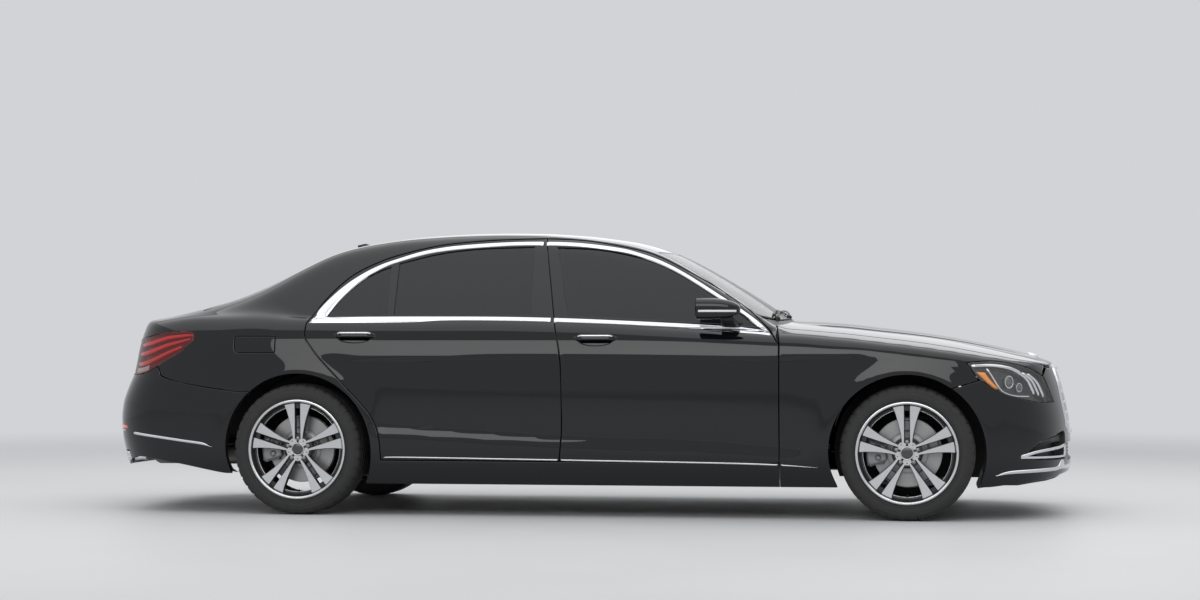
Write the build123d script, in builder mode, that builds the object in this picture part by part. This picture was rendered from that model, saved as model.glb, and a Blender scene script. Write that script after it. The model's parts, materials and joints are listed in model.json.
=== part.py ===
"""Long-wheelbase luxury sedan, built from separate panels, glass, running gear and cabin parts.

Frame: +X to the front of the car, +Y to its left, +Z up, origin on the ground under the middle of the car.
"""

import math
import os

from build123d import *

# ---------------------------------------------------------------- driving dimensions, mm
half_width = 949.5
front_axle_x = 1735.0
rear_axle_x = -1430.0
wheel_radius = 342.0
tyre_width = 245.0
rim_radius = 258.0
track_half = {"front": 812.0, "rear": 818.5}
arch_radius = 396.0
plate_face_x = -2494.0
plate_z = 850.0
plate_spacing = 178.0
plate_hole_radius = 3.0
panel_gap = 6.0
skin = 12.0
door_depth = 112.0
frame_depth = 42.0
roof_depth_inner = 30.0
shell_depth = 26.0
sill_bottom = 160.0
door_bottom = 290.0
hinge_setback = 64.0
hinge_inset = 8.0
king_pin_y = 742.0
disc_radius = 176.0

os.makedirs("parts", exist_ok=True)


def mirrored(points):
    """The same outline on the other side of the car's middle plane."""
    return [(-across, up) for across, up in reversed(points)]


def side_prism(points, y_low, y_high, growth=0.0):
    """An outline in X and Z, grown by a gap, carried from y_low to y_high."""
    with BuildPart() as prism:
        with BuildSketch(Plane.XZ.offset(-y_high)):
            with BuildLine():
                Polyline(*points, close=True)
            make_face()
            if growth:
                offset(amount=growth, kind=Kind.INTERSECTION)
        extrude(amount=y_high - y_low)
    return prism.part


def grown_plan(points, growth, z_low, z_high):
    """An outline in X and Y, grown by a gap, carried from z_low to z_high."""
    with BuildPart() as prism:
        with BuildSketch(Plane.XY.offset(z_low)):
            with BuildLine():
                Polyline(*points, close=True)
            make_face()
            if growth:
                offset(amount=growth, kind=Kind.INTERSECTION)
        extrude(amount=z_high - z_low)
    return prism.part


def grown_front(points, growth, x_low, x_high):
    """An outline in Y and Z, grown by a gap, carried from x_low to x_high."""
    with BuildPart() as prism:
        with BuildSketch(Plane.YZ.offset(x_low)):
            with BuildLine():
                Polyline(*points, close=True)
            make_face()
            if growth:
                offset(amount=growth, kind=Kind.INTERSECTION)
        extrude(amount=x_high - x_low)
    return prism.part


def block(x_low, x_high, y_low, y_high, z_low, z_high):
    """A box between two corners."""
    with BuildPart() as solid:
        with Locations(((x_low + x_high) / 2, (y_low + y_high) / 2, (z_low + z_high) / 2)):
            Box(x_high - x_low, y_high - y_low, z_high - z_low)
    return solid.part


def cross_cylinder(x, z, radius, y_low, y_high):
    """A cylinder across the car."""
    with BuildPart() as solid:
        with BuildSketch(Plane.XZ.offset(-y_high)):
            with Locations((x, z)):
                Circle(radius)
        extrude(amount=y_high - y_low)
    return solid.part


def upright_cylinder(x, y, radius, z_low, z_high):
    """A cylinder standing up."""
    with BuildPart() as solid:
        with BuildSketch(Plane.XY.offset(z_low)):
            with Locations((x, y)):
                Circle(radius)
        extrude(amount=z_high - z_low)
    return solid.part


def save(piece, node):
    """Write one finished piece under its node's name."""
    piece.label = node
    export_step(piece, f"parts/{node}.step")
    print(node, len(piece.solids()), round(piece.volume / 1e6, 2))


# ---------------------------------------------------------------- the car's outer form
# Each form is three outlines crossed: from the side, from above and from the front.
deck_line = [(-2420, 1030), (-2260, 1054), (-2140, 1079), (-2036, 1100)]
belt_line = [(-2000, 1008), (-1400, 1008), (-900, 1020), (-360, 1022), (165, 1005), (640, 975), (1050, 938)]
hood_line = [(1092, 1012), (1220, 1016), (1346, 1006), (1560, 980), (1776, 955), (1990, 921), (2200, 878)]
hood_nose = [(2308, 853), (2414, 821), (2456, 800)]
nose_line = [(2493, 773), (2520, 709), (2540, 634), (2560, 549), (2572, 485), (2574, 405)]
nose_line += [(2572, 320), (2580, 262)]
tail_line = [(-2540, 250), (-2570, 380), (-2580, 500), (-2560, 600), (-2545, 670), (-2500, 740), (-2470, 880)]
body_section = [(800, 150), (862, 165), (905, 240), (926, 310), (938, 420), (947, 560), (949.5, 680)]
body_shoulder = [(948, 800), (944, 900), (934, 955), (905, 1000), (880, 1012), (868, 1140)]
half_plan = [(-2580, 0), (-2552, 350), (-2525, 500), (-2490, 620), (-2455, 700), (-2410, 760), (-2360, 800)]
half_plan += [(-2270, 838), (-2150, 870), (-1950, 902), (-1700, 925), (-1430, 941), (-1000, 949.5)]
half_plan += [(900, 949.5), (1300, 947), (1735, 938), (1950, 922), (2100, 898), (2230, 858), (2330, 806)]
half_plan += [(2420, 728), (2490, 610), (2535, 470), (2562, 300), (2576, 140), (2580, 0)]


def body_form(depth, side_depth=None):
    """The lower body, its surface moved in by a depth. An inner form is open to the cabin and the ground."""
    side_in = depth if side_depth is None else side_depth
    low = sill_bottom if depth == 0 else -200
    outline = [(-2300, low), *tail_line, *deck_line, *belt_line, *hood_line, *hood_nose, *nose_line]
    outline += [(2550, 215), (2300, low)]
    if depth:
        outline = [(-2540, low), *tail_line, *deck_line, *belt_line, *hood_line, *hood_nose, *nose_line]
        outline += [(2580, low)]
    plan = [*half_plan, *[(x, -y) for x, y in reversed(half_plan[1:-1])]]
    half_section = [*body_section, *body_shoulder, (860, 1400)]
    if depth:
        half_section = [(862, -300), *half_section[1:]]
    section = [*half_section, *[(-y, z) for y, z in reversed(half_section)]]
    with BuildPart() as form:
        with BuildSketch(Plane.XZ.offset(-1000)):
            with BuildLine():
                Polyline(*outline, close=True)
            make_face()
            if depth:
                offset(amount=-depth, kind=Kind.INTERSECTION)
                with BuildLine():
                    Polyline((-1990, 300), *belt_line, (1050, 300), close=True)
                make_face()
        extrude(amount=2000)
        add(grown_plan(plan, -depth, -250, 1300), mode=Mode.INTERSECT)
        add(grown_front(section, -side_in, -2700, 2700), mode=Mode.INTERSECT)
    return form.part


roof_line = [(-2030, 1103), (-1910, 1149), (-1790, 1205), (-1680, 1255), (-1560, 1308), (-1446, 1358)]
roof_line += [(-1330, 1402), (-1216, 1432), (-1100, 1454), (-990, 1470), (-873, 1480), (-646, 1493)]
roof_line += [(-420, 1496), (-196, 1492), (28, 1476), (250, 1446), (360, 1420), (470, 1378), (582, 1323)]
roof_line += [(690, 1265), (800, 1202), (910, 1131), (1020, 1060), (1090, 1006)]
house_floor = 985.0
inner_floor = 800.0
roof_section = [(875, 1010), (665, 1430), (630, 1458), (540, 1480), (300, 1493), (150, 1496)]


def glass_house(depth, roof_depth=None):
    """The cabin above the belt, its surface moved in by a depth. An inner form is open below."""
    down = depth if roof_depth is None else roof_depth
    floor = inner_floor if depth else house_floor
    foot = 875 if depth else 882
    outline = [(-2030, floor), *roof_line, (1090, floor)]
    half_section = [(foot, floor), *roof_section]
    section = [*half_section, *[(-y, z) for y, z in reversed(half_section)]]
    with BuildPart() as form:
        add(side_prism(outline, -1000, 1000, -down))
        add(grown_front(section, -depth, -2200, 1200), mode=Mode.INTERSECT)
    return form.part


body_outer = body_form(0)
body_skin = body_form(skin)
body_shell = body_form(shell_depth)
body_wall = body_form(60)
body_deep = body_form(70, door_depth)
cabin_outer = glass_house(0)
cabin_skin = glass_house(skin)
cabin_inner = glass_house(frame_depth, roof_depth_inner)

with BuildPart() as outer_all:
    add(body_outer)
    add(cabin_outer)
with BuildPart() as skin_all:
    add(body_skin)
    add(cabin_skin)
with BuildPart() as deep_all:
    add(body_deep)
    add(cabin_inner)

# ---------------------------------------------------------------- door outlines, from the side
b_cut = [(-150, 1444), (-70, 1005), (-32, 800), (-25, 450), (-38, door_bottom)]
front_door_top = [(1045, 948), (985, 1012), (880, 1100), (770, 1172), (660, 1235), (555, 1292), (450, 1343)]
front_door_top += [(340, 1380), (130, 1422)]
front_door_outline = [(1088, door_bottom), (1088, 885), *front_door_top, *b_cut]
rear_cut = [(-1412, 1012), (-1392, 933), (-1306, 818), (-1200, 709), (-1090, 595), (-1040, 540), (-1005, 480)]
rear_cut += [(-985, 393), (-980, door_bottom)]
rear_door_top = [(-510, 1432), (-730, 1408), (-940, 1358), (-1050, 1318), (-1160, 1264), (-1240, 1195)]
rear_door_top += [(-1320, 1120)]
rear_b_cut = [(x - panel_gap, z) for x, z in reversed(b_cut)]
rear_door_outline = [*rear_b_cut, *rear_door_top, *rear_cut]

latch_lap = 22.0
front_axis_x = 1088 - hinge_setback
rear_axis_x = -25 - panel_gap - hinge_setback
# Inner layers: straight down behind the hinge, stepped in from the edge everywhere else.
front_inner_top = [(940, 1010), (860, 1076), (760, 1140), (650, 1203), (545, 1260), (442, 1310), (335, 1346)]
front_inner_top += [(130, 1390), (-112, 1412)]
front_inner = [(front_axis_x - 6, door_bottom + latch_lap), (front_axis_x - 6, 925), *front_inner_top]
front_inner += [(-44, 1005), (-4, 800), (-2, 450), (-12, door_bottom + latch_lap)]
rear_inner_top = [(-192, 1412), (-510, 1402), (-724, 1378), (-928, 1330), (-1036, 1290), (-1140, 1238)]
rear_inner_top += [(-1218, 1172), (-1300, 1096), (-1372, 1012)]
rear_inner = [(rear_axis_x - 6, door_bottom + latch_lap), (rear_axis_x - 6, 900), (-140, 1005)]
rear_inner += rear_inner_top
rear_inner += [(-1358, 940), (-1278, 834), (-1176, 730), (-1064, 614), (-1006, 550), (-970, 486)]
rear_inner += [(-956, 393), (-952, door_bottom + latch_lap)]

front_window = [(-5, 1034), (-92, 1400), (130, 1384), (335, 1342), (446, 1308), (550, 1256), (656, 1199)]
front_window += [(764, 1134), (872, 1062), (950, 992), (640, 1004), (425, 1016), (165, 1028)]
rear_window_main = [(-202, 1036), (-212, 1402), (-510, 1394), (-722, 1368), (-930, 1318), (-930, 1040)]
quarter_window = [(-972, 1038), (-972, 1300), (-1032, 1278), (-1134, 1224), (-1208, 1162), (-1286, 1090)]
quarter_window += [(-1338, 1034)]


def door_solid(side, full, inner, windows):
    """A door: a thin outer layer to the shut lines, and the body of the door behind it."""
    low, high = (-1000, -300) if side < 0 else (300, 1000)
    with BuildPart() as outer_layer:
        add(outer_all.part)
        add(side_prism(full, low, high), mode=Mode.INTERSECT)
        add(skin_all.part, mode=Mode.SUBTRACT)
    with BuildPart() as inner_layer:
        add(outer_all.part)
        add(side_prism(inner, low, high), mode=Mode.INTERSECT)
        add(deep_all.part, mode=Mode.SUBTRACT)
    with BuildPart() as door:
        add(outer_layer.part)
        add(inner_layer.part)
        for window in windows:
            add(side_prism(window, low, high), mode=Mode.SUBTRACT)
    return door.part


glass_outer = glass_house(18)
glass_inner = glass_house(23)


def door_glass(side, windows):
    """Panes that fill a door's windows, set in from its face."""
    low, high = (-1000, -300) if side < 0 else (300, 1000)
    with BuildPart() as glass:
        for window in windows:
            add(side_prism(window, low, high, -0.5))
        add(glass_outer, mode=Mode.INTERSECT)
        add(glass_inner, mode=Mode.SUBTRACT)
    return glass.part


front_windows = [front_window]
rear_windows = [rear_window_main, quarter_window]
for side, word in ((-1, "right"), (1, "left")):
    save(door_solid(side, front_door_outline, front_inner, front_windows), f"front_door_{word}")
    save(door_solid(side, rear_door_outline, rear_inner, rear_windows), f"rear_door_{word}")
    save(door_glass(side, front_windows), f"front_door_glass_{word}")
    save(door_glass(side, rear_windows), f"rear_door_glass_{word}")

# ---------------------------------------------------------------- shut lines of the other panels
hood_plan = [(1128, -735), (2040, -722), (2250, -690), (2400, -600), (2452, -470), (2466, -300), (2470, 0)]
hood_plan += [(x, -y) for x, y in reversed(hood_plan[:-1])]
lid_front_x = -2050.0
lid_half_width = 605.0
lid_gap_half = lid_half_width + panel_gap
lid_bottom = 742.0
headlamp_outline = [(2034, 796), (2150, 804), (2250, 792), (2350, 762), (2405, 728), (2440, 660)]
headlamp_outline += [(2468, 597), (2325, 619), (2225, 644), (2150, 679), (2095, 718)]
tail_lamp_outline = [(-2030, 948), (-2064, 958), (-2130, 955), (-2290, 936), (-2620, 930), (-2620, 752)]
tail_lamp_outline += [(-2296, 748), (-2210, 782), (-2130, 833), (-2060, 881), (-2025, 912)]
front_bumper_line = [(1735, 664), (1972, 667), (2094, 706), (2150, 673), (2225, 638), (2325, 613)]
front_bumper_line += [(2470, 590), (2470, 600), (2452, 660), (2440, 712), (2700, 712)]
rear_bumper_line = [(-1430, 640), (-1870, 652), (-1980, 667), (-2090, 683), (-2186, 711), (-2240, 738)]
rear_bumper_line += [(-2700, 738)]
grille_outline = [(-300, 425), (-405, 470), (-425, 600), (-395, 740), (-330, 778)]
grille_outline += mirrored(grille_outline)
fender_outline = [(1096, 262), (1096, 1100), (2436, 1100), (2436, 719), (2400, 735), (2094, 712), (1972, 673)]
fender_outline += [(1735, 670), (1735, 262)]

# ---------------------------------------------------------------- body sides, roof and floor
pocket_radius = hinge_setback + 22.0


def door_opening(side, full, inner):
    """What a body side loses to a door: a rebate for its outer layer and a hole for the rest."""
    low, high = (-1000, -300) if side < 0 else (300, 1000)
    with BuildPart() as rebate:
        add(side_prism(full, low, high, panel_gap))
        add(rebate_inner, mode=Mode.SUBTRACT)
    with BuildPart() as cut:
        add(rebate.part)
        add(side_prism(inner, low, high, panel_gap + 4))
    return cut.part


with BuildPart() as rebate_form:
    add(body_form(skin + panel_gap))
    add(glass_house(skin + panel_gap))
rebate_inner = rebate_form.part

side_depth_inner = 104.0
with BuildPart() as side_inner_form:
    add(body_form(60, side_depth_inner))
    add(glass_house(frame_depth, roof_depth_inner))

windshield_sides = [(-800, 1020), (-775, 1060), (-560, 1392), (560, 1392), (775, 1060), (800, 1020)]
rear_window_sides = [(-655, 1118), (-540, 1400), (540, 1400), (655, 1118)]
roof_plan = [(-1326, -545), (470, -558), (470, 558), (-1326, 545)]
roof_bottom = 1300.0
flap_outline = [(-1776, 930), (-1776, 872), (-1752, 848), (-1559, 848), (-1556, 851), (-1556, 930)]
flap_axis_x = -1562.0
with BuildPart() as flap:
    add(body_outer)
    add(side_prism(flap_outline, -1000, -600), mode=Mode.INTERSECT)
    add(body_form(10), mode=Mode.SUBTRACT)
save(flap.part, "fuel_flap")
with BuildPart() as flap_pocket:
    add(side_prism(flap_outline, -1000, -600, 5.5))
    add(body_form(30), mode=Mode.SUBTRACT)
flap_recess = flap_pocket.part


def pair(make):
    """The right and the left piece in one node."""
    with BuildPart() as both:
        add(make(-1))
        add(make(1))
    return both.part


def body_side(side):
    """Sill, pillars, roof rail and rear quarter of one side."""
    low, high = (-1000, -1) if side < 0 else (1, 1000)
    axis_y = side * (half_width - hinge_inset)
    outline = [(-2620, 742), (-2620, 1200), (-1000, 1600), (600, 1600), (1089, 1100), (1089, 163)]
    outline += [(-1430, 163), (-1430, 644), (-1870, 656), (-1980, 671), (-2090, 687), (-2190, 716)]
    outline += [(-2240, 742)]
    with BuildPart() as rail:
        add(outer_all.part)
        add(side_prism(outline, low, high), mode=Mode.INTERSECT)
        add(side_inner_form.part, mode=Mode.SUBTRACT)
        add(door_opening(side, front_door_outline, front_inner), mode=Mode.SUBTRACT)
        add(door_opening(side, rear_door_outline, rear_inner), mode=Mode.SUBTRACT)
        add(grown_front(windshield_sides, 0, 400, 1200), mode=Mode.SUBTRACT)
        add(grown_front(rear_window_sides, 0, -2100, -1250), mode=Mode.SUBTRACT)
        add(grown_plan(roof_plan, 0, roof_bottom, 1600), mode=Mode.SUBTRACT)
        add(block(-2600, lid_front_x + 14, -lid_gap_half, lid_gap_half, 600, 1300), mode=Mode.SUBTRACT)
        add(block(900, 1200, -790, 790, 800, 1030), mode=Mode.SUBTRACT)
        add(block(-2100, -1900, -652, 652, 900, 1125), mode=Mode.SUBTRACT)
        add(side_prism(tail_lamp_outline, low, high, 2), mode=Mode.SUBTRACT)
        if side < 0:
            add(flap_recess, mode=Mode.SUBTRACT)
        add(cross_cylinder(rear_axle_x, wheel_radius, arch_radius, -1000, 1000), mode=Mode.SUBTRACT)
        for x in (front_axis_x, rear_axis_x):
            add(upright_cylinder(x, axis_y, pocket_radius, 250, 1050), mode=Mode.SUBTRACT)
    return rail.part


body_sides = pair(body_side)
save(body_sides, "body_sides")

with BuildPart() as roof_panel:
    add(cabin_outer)
    add(grown_plan(roof_plan, 0, roof_bottom, 1600), mode=Mode.INTERSECT)
    add(glass_house(frame_depth, roof_depth_inner), mode=Mode.SUBTRACT)
save(roof_panel.part, "roof_panel")

pane = glass_house(6)
with BuildPart() as windshield:
    add(cabin_outer)
    add(grown_front(windshield_sides, -1, 474, 1084), mode=Mode.INTERSECT)
    add(pane, mode=Mode.SUBTRACT)
save(windshield.part, "windshield")

with BuildPart() as rear_window:
    add(cabin_outer)
    add(grown_front(rear_window_sides, -1, -2024, -1329), mode=Mode.INTERSECT)
    add(pane, mode=Mode.SUBTRACT)
save(rear_window.part, "rear_window")

# ---------------------------------------------------------------- panels round the engine and the boot
arch_front = cross_cylinder(front_axle_x, wheel_radius, arch_radius, -1000, 1000)
arch_rear = cross_cylinder(rear_axle_x, wheel_radius, arch_radius, -1000, 1000)

with BuildPart() as hood:
    add(body_outer)
    add(grown_plan(hood_plan, 0, 782, 1300), mode=Mode.INTERSECT)
    add(body_shell, mode=Mode.SUBTRACT)
save(hood.part, "hood")

with BuildPart() as trunk_lid:
    add(body_outer)
    add(block(-2700, lid_front_x, -lid_half_width, lid_half_width, lid_bottom, 1200), mode=Mode.INTERSECT)
    add(body_shell, mode=Mode.SUBTRACT)
    add(block(plate_face_x, -2462, -275, 275, 762, 890))
    for across in (-plate_spacing / 2, plate_spacing / 2):
        with Locations(Location((plate_face_x, across, plate_z), (0, -90, 0))):
            Hole(plate_hole_radius, depth=20)
save(trunk_lid.part, "trunk_lid")


cowl_half = 741.0


def fender(side):
    """A front wing, from the door to the headlamp."""
    low, high = (-1000, -400) if side < 0 else (400, 1000)
    with BuildPart() as wing:
        add(body_outer)
        add(side_prism(fender_outline, low, high), mode=Mode.INTERSECT)
        add(body_shell, mode=Mode.SUBTRACT)
        add(grown_plan(hood_plan, panel_gap, 700, 1300), mode=Mode.SUBTRACT)
        add(side_prism(headlamp_outline, low, high, 2), mode=Mode.SUBTRACT)
        add(arch_front, mode=Mode.SUBTRACT)
        add(block(1090, 1140, -cowl_half, cowl_half, 700, 1100), mode=Mode.SUBTRACT)
    return wing.part


save(pair(fender), "front_fenders")

side_intake = [(-720, 285), (-760, 385), (-440, 395), (-400, 290)]
middle_intake = [(-340, 290), (-350, 395), (350, 395), (340, 290)]
front_bumper_outline = [(1735, 150), *front_bumper_line, (2700, 150)]
with BuildPart() as front_bumper:
    add(body_outer)
    add(side_prism(front_bumper_outline, -1000, 1000), mode=Mode.INTERSECT)
    add(body_wall, mode=Mode.SUBTRACT)
    add(side_prism(headlamp_outline, -1000, 1000, 2), mode=Mode.SUBTRACT)
    add(grown_front(grille_outline, 3, 2200, 2700), mode=Mode.SUBTRACT)
    for intake in (side_intake, mirrored(side_intake), middle_intake):
        add(grown_front(intake, 0, 2200, 2700), mode=Mode.SUBTRACT)
    add(arch_front, mode=Mode.SUBTRACT)
save(front_bumper.part, "front_bumper")

grille_rows = [490, 556, 622, 688]
with BuildPart() as grille:
    add(body_outer)
    add(grown_front(grille_outline, 0, 2200, 2700), mode=Mode.INTERSECT)
    add(body_form(45), mode=Mode.SUBTRACT)
    for row in grille_rows:
        for side in (-1, 1):
            middle = side * 185
            add(block(2200, 2700, middle - 160, middle + 160, row - 20, row + 20), mode=Mode.SUBTRACT)
save(grille.part, "grille")

tailpipe_heights = (266, 318)
rear_bumper_outline = [(-1430, 150), *rear_bumper_line, (-2700, 150)]
with BuildPart() as rear_bumper:
    add(body_outer)
    add(side_prism(rear_bumper_outline, -1000, 1000), mode=Mode.INTERSECT)
    add(body_wall, mode=Mode.SUBTRACT)
    add(arch_rear, mode=Mode.SUBTRACT)
    for side in (-1, 1):
        add(block(-2700, -2250, *sorted((side * 464, side * 686)), 260, 324), mode=Mode.SUBTRACT)
save(rear_bumper.part, "rear_bumper")

lamp_inner = body_form(95)


def headlamp(side):
    """One headlamp."""
    low, high = (-1000, -470) if side < 0 else (470, 1000)
    with BuildPart() as lamp:
        add(body_outer)
        add(side_prism(headlamp_outline, low, high, -1), mode=Mode.INTERSECT)
        add(grown_plan(hood_plan, panel_gap, 775, 1300), mode=Mode.SUBTRACT)
        add(lamp_inner, mode=Mode.SUBTRACT)
    return lamp.part


save(pair(headlamp), "headlamps")


def tail_lamp(side):
    """One tail lamp, wrapped round the rear corner."""
    low, high = (-1000, -lid_gap_half) if side < 0 else (lid_gap_half, 1000)
    with BuildPart() as lamp:
        add(body_outer)
        add(side_prism(tail_lamp_outline, low, high, -1), mode=Mode.INTERSECT)
        add(lamp_inner, mode=Mode.SUBTRACT)
    return lamp.part


save(pair(tail_lamp), "tail_lamps")

# ---------------------------------------------------------------- floor, bulkhead, shelf and arches
floor_outline = [(-590, 190), (1000, 190), (1092, 250), (1092, 275), (990, 214), (-560, 214), (-600, 360)]
floor_outline += [(-1010, 360), (-1030, 400), (-2400, 400), (-2400, 376), (-1046, 376), (-1016, 336)]
floor_outline += [(-624, 336)]
with BuildPart() as floor_pan:
    add(side_prism([*floor_outline, (-590, 200)], -1000, 1000))
    add(block(-600, 1080, -160, 160, 205, 350))
    add(block(-640, 1100, -130, 130, 150, 320), mode=Mode.SUBTRACT)
    add(side_inner_form.part, mode=Mode.INTERSECT)
    for side in (-1, 1):
        add(block(rear_axle_x - 420, rear_axle_x + 420, *sorted((side * 590, side * 1000)), 100, 800),
            mode=Mode.SUBTRACT)
        add(block(-1070, 1100, *sorted((side * 800, side * 1000)), 285, 500), mode=Mode.SUBTRACT)
save(floor_pan.part, "floor_pan")

bulkhead_outline = [(1092, 216), (1112, 216), (1112, 948), (1092, 978), (1056, 978), (1040, 962), (1092, 936)]
with BuildPart() as bulkhead:
    add(side_prism(bulkhead_outline, -738, 738))
    add(floor_pan.part, mode=Mode.SUBTRACT)
save(bulkhead.part, "bulkhead")

shelf_outline = [(-1300, 985), (-1300, 1010), (-1960, 1052), (-2018, 1086), (-2030, 1060), (-1970, 1025)]
shelf_outline += [(-1326, 985), (-1326, 404), (-1300, 404)]
with BuildPart() as parcel_shelf:
    add(side_prism(shelf_outline, -584, 584))
save(parcel_shelf.part, "parcel_shelf")

liner_radius = 401.0
liner_thickness = 8.0


def arch_liner(x, inboard, limit, side):
    """One curved liner over a wheel, inside the body's skin."""
    low, high = (-960, -inboard) if side < 0 else (inboard, 960)
    with BuildPart() as liner:
        add(cross_cylinder(x, wheel_radius, liner_radius + liner_thickness, low, high))
        add(cross_cylinder(x, wheel_radius, liner_radius, -1000, 1000), mode=Mode.SUBTRACT)
        add(block(x - 500, x + 500, -1000, 1000, -100, wheel_radius - 20), mode=Mode.SUBTRACT)
        add(limit, mode=Mode.INTERSECT)
        add(front_bumper.part, mode=Mode.SUBTRACT)
    return liner.part


with BuildPart() as wheel_arch_liners:
    for side in (-1, 1):
        add(arch_liner(front_axle_x, 508, body_shell, side))
        add(arch_liner(rear_axle_x, 600, side_inner_form.part, side))
save(wheel_arch_liners.part, "wheel_arch_liners")

# ---------------------------------------------------------------- wheels
rim_half = 120.0
bead_half = 108.0
bead_radius = 241.0
barrel_inner = 229.0
rim_outline = [(-rim_half, rim_radius), (-bead_half, rim_radius), (-bead_half, bead_radius)]
rim_outline += [(bead_half, bead_radius), (bead_half, rim_radius), (rim_half, rim_radius)]
rim_outline += [(rim_half, 246), (100, barrel_inner), (-rim_half + 8, barrel_inner), (-rim_half, 246)]
wall = tyre_width / 2
half_tyre = [(84, wheel_radius), (100, wheel_radius - 4), (115, wheel_radius - 16), (wall, wheel_radius - 44)]
half_tyre += [(wall - 1.5, 276), (bead_half, rim_radius + 2), (bead_half, bead_radius + 0.3)]
tyre_outline = [*[(-across, radius) for across, radius in reversed(half_tyre)], *half_tyre]
spoke_outline = [(5, 66), (34, 62), (66, 226), (22, 232)]
spoke_face = 100.0
spoke_depth = 34.0
twin_count = 5
hub_pad = 46.0


def turned(outline):
    """A ring turned about the Y axis from its outline: place across the wheel, and radius."""
    with BuildPart() as ring:
        with BuildSketch(Plane.XY):
            with BuildLine():
                Polyline(*[(radius, across) for across, radius in outline], close=True)
            make_face()
        revolve(axis=Axis.Y)
    return ring.part


def spoke(flip, angle):
    """One of the ten spokes: half of a twin, turned to its place round the hub."""
    with BuildPart() as blade:
        with BuildSketch(Plane.XZ.offset(-spoke_face)):
            with BuildLine():
                Polyline(*[(flip * across, radius) for across, radius in spoke_outline], close=True)
            make_face()
        extrude(amount=spoke_depth)
    return blade.part.rotate(Axis.Y, angle)


with BuildPart() as rim_form:
    add(turned(rim_outline))
    add(cross_cylinder(0, 0, 80, hub_pad, 92))
    for twin in range(twin_count):
        for flip in (-1, 1):
            add(spoke(flip, 360 / twin_count * twin))
    add(cross_cylinder(0, 0, 34, 0, 88), mode=Mode.SUBTRACT)
tyre_form = turned(tyre_outline)

spindle_radius = 30.0
with BuildPart() as disc_form:
    add(cross_cylinder(0, 0, disc_radius, -20, 12))
    add(cross_cylinder(0, 0, 84, 12, hub_pad))
    add(cross_cylinder(0, 0, 62, -21, 30), mode=Mode.SUBTRACT)
    add(cross_cylinder(0, 0, spindle_radius + 0.5, -30, 60), mode=Mode.SUBTRACT)


def on_wheel(shape, axle, side):
    """A wheel part, made for the left side, at one of the four wheels."""
    x = front_axle_x if axle == "front" else rear_axle_x
    moved = shape if side > 0 else shape.mirror(Plane.XZ)
    return moved.moved(Location((x, side * track_half[axle], wheel_radius)))


for axle in ("front", "rear"):
    for side, word in ((-1, "right"), (1, "left")):
        save(on_wheel(rim_form.part, axle, side), f"{axle}_rim_{word}")
        save(on_wheel(tyre_form, axle, side), f"{axle}_tyre_{word}")
        save(on_wheel(disc_form.part, axle, side), f"{axle}_brake_disc_{word}")

# Hub carrier with its caliper, for the left side. The caliper sits behind the axle.
with BuildPart() as caliper_form:
    with BuildSketch(Plane.XZ.offset(-42)):
        with BuildLine():
            Polyline((-110, -58), (-200, -66), (-208, 0), (-196, 74), (-108, 62), close=True)
        make_face()
    extrude(amount=104)
    add(cross_cylinder(0, 0, disc_radius + 6, -26, 18), mode=Mode.SUBTRACT)
    add(block(-115, 0, -30, 60, -90, 90), mode=Mode.SUBTRACT)
pin_low, pin_high = -152.0, 152.0
with BuildPart() as upright_form:
    add(cross_cylinder(0, 0, spindle_radius, -40, 38))
    add(cross_cylinder(0, 0, 56, -84, -27))
    add(block(-26, 26, -90, -50, pin_low, pin_high))
    add(block(-150, 0, -60, -28, -24, 24))
    add(caliper_form.part)

ball_pin_radius = 11.0
seat_radius = ball_pin_radius + 0.6
for side, word in ((-1, "right"), (1, "left")):
    with BuildPart() as knuckle:
        add(on_wheel(upright_form.part, "front", side))
        for seat_low, seat_high in ((180, 230), (454, 504)):
            add(upright_cylinder(front_axle_x, side * king_pin_y, seat_radius, seat_low, seat_high),
                mode=Mode.SUBTRACT)
    save(knuckle.part, f"knuckle_{word}")


def wishbone(side, z_low, z_high, foot_y, pin_z):
    """An arm from the subframe to the king pin line, with the ball pin at its end."""
    reach = side * king_pin_y
    foot = side * foot_y
    with BuildPart() as arm:
        with BuildSketch(Plane.XY.offset(z_low)):
            with BuildLine():
                Polyline((front_axle_x - 26, reach), (front_axle_x + 26, reach), (front_axle_x + 150, foot),
                         (front_axle_x - 150, foot), close=True)
            make_face()
        extrude(amount=z_high - z_low)
        add(upright_cylinder(front_axle_x, reach, 26, z_low, z_high))
        add(upright_cylinder(front_axle_x, reach, ball_pin_radius, *pin_z))
    return arm.part


rail_middle = 385.0
rail_half = 45.0
subframe_reach = 170.0
subframe_bottom = 165.0
with BuildPart() as front_subframe:
    for across in (front_axle_x - subframe_reach, front_axle_x + 90):
        add(block(across, across + 80, -rail_middle, rail_middle, subframe_bottom, 235))
    for middle in (-rail_middle, rail_middle):
        add(block(front_axle_x - subframe_reach, front_axle_x + subframe_reach, middle - rail_half,
                  middle + rail_half, subframe_bottom, 560))
save(front_subframe.part, "front_subframe")

with BuildPart() as front_wishbones:
    for side in (-1, 1):
        add(wishbone(side, 160, 184, rail_middle + rail_half, (160, 222)))
        add(wishbone(side, 500, 522, rail_middle + rail_half, (462, 522)))
save(front_wishbones.part, "front_wishbones")

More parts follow.
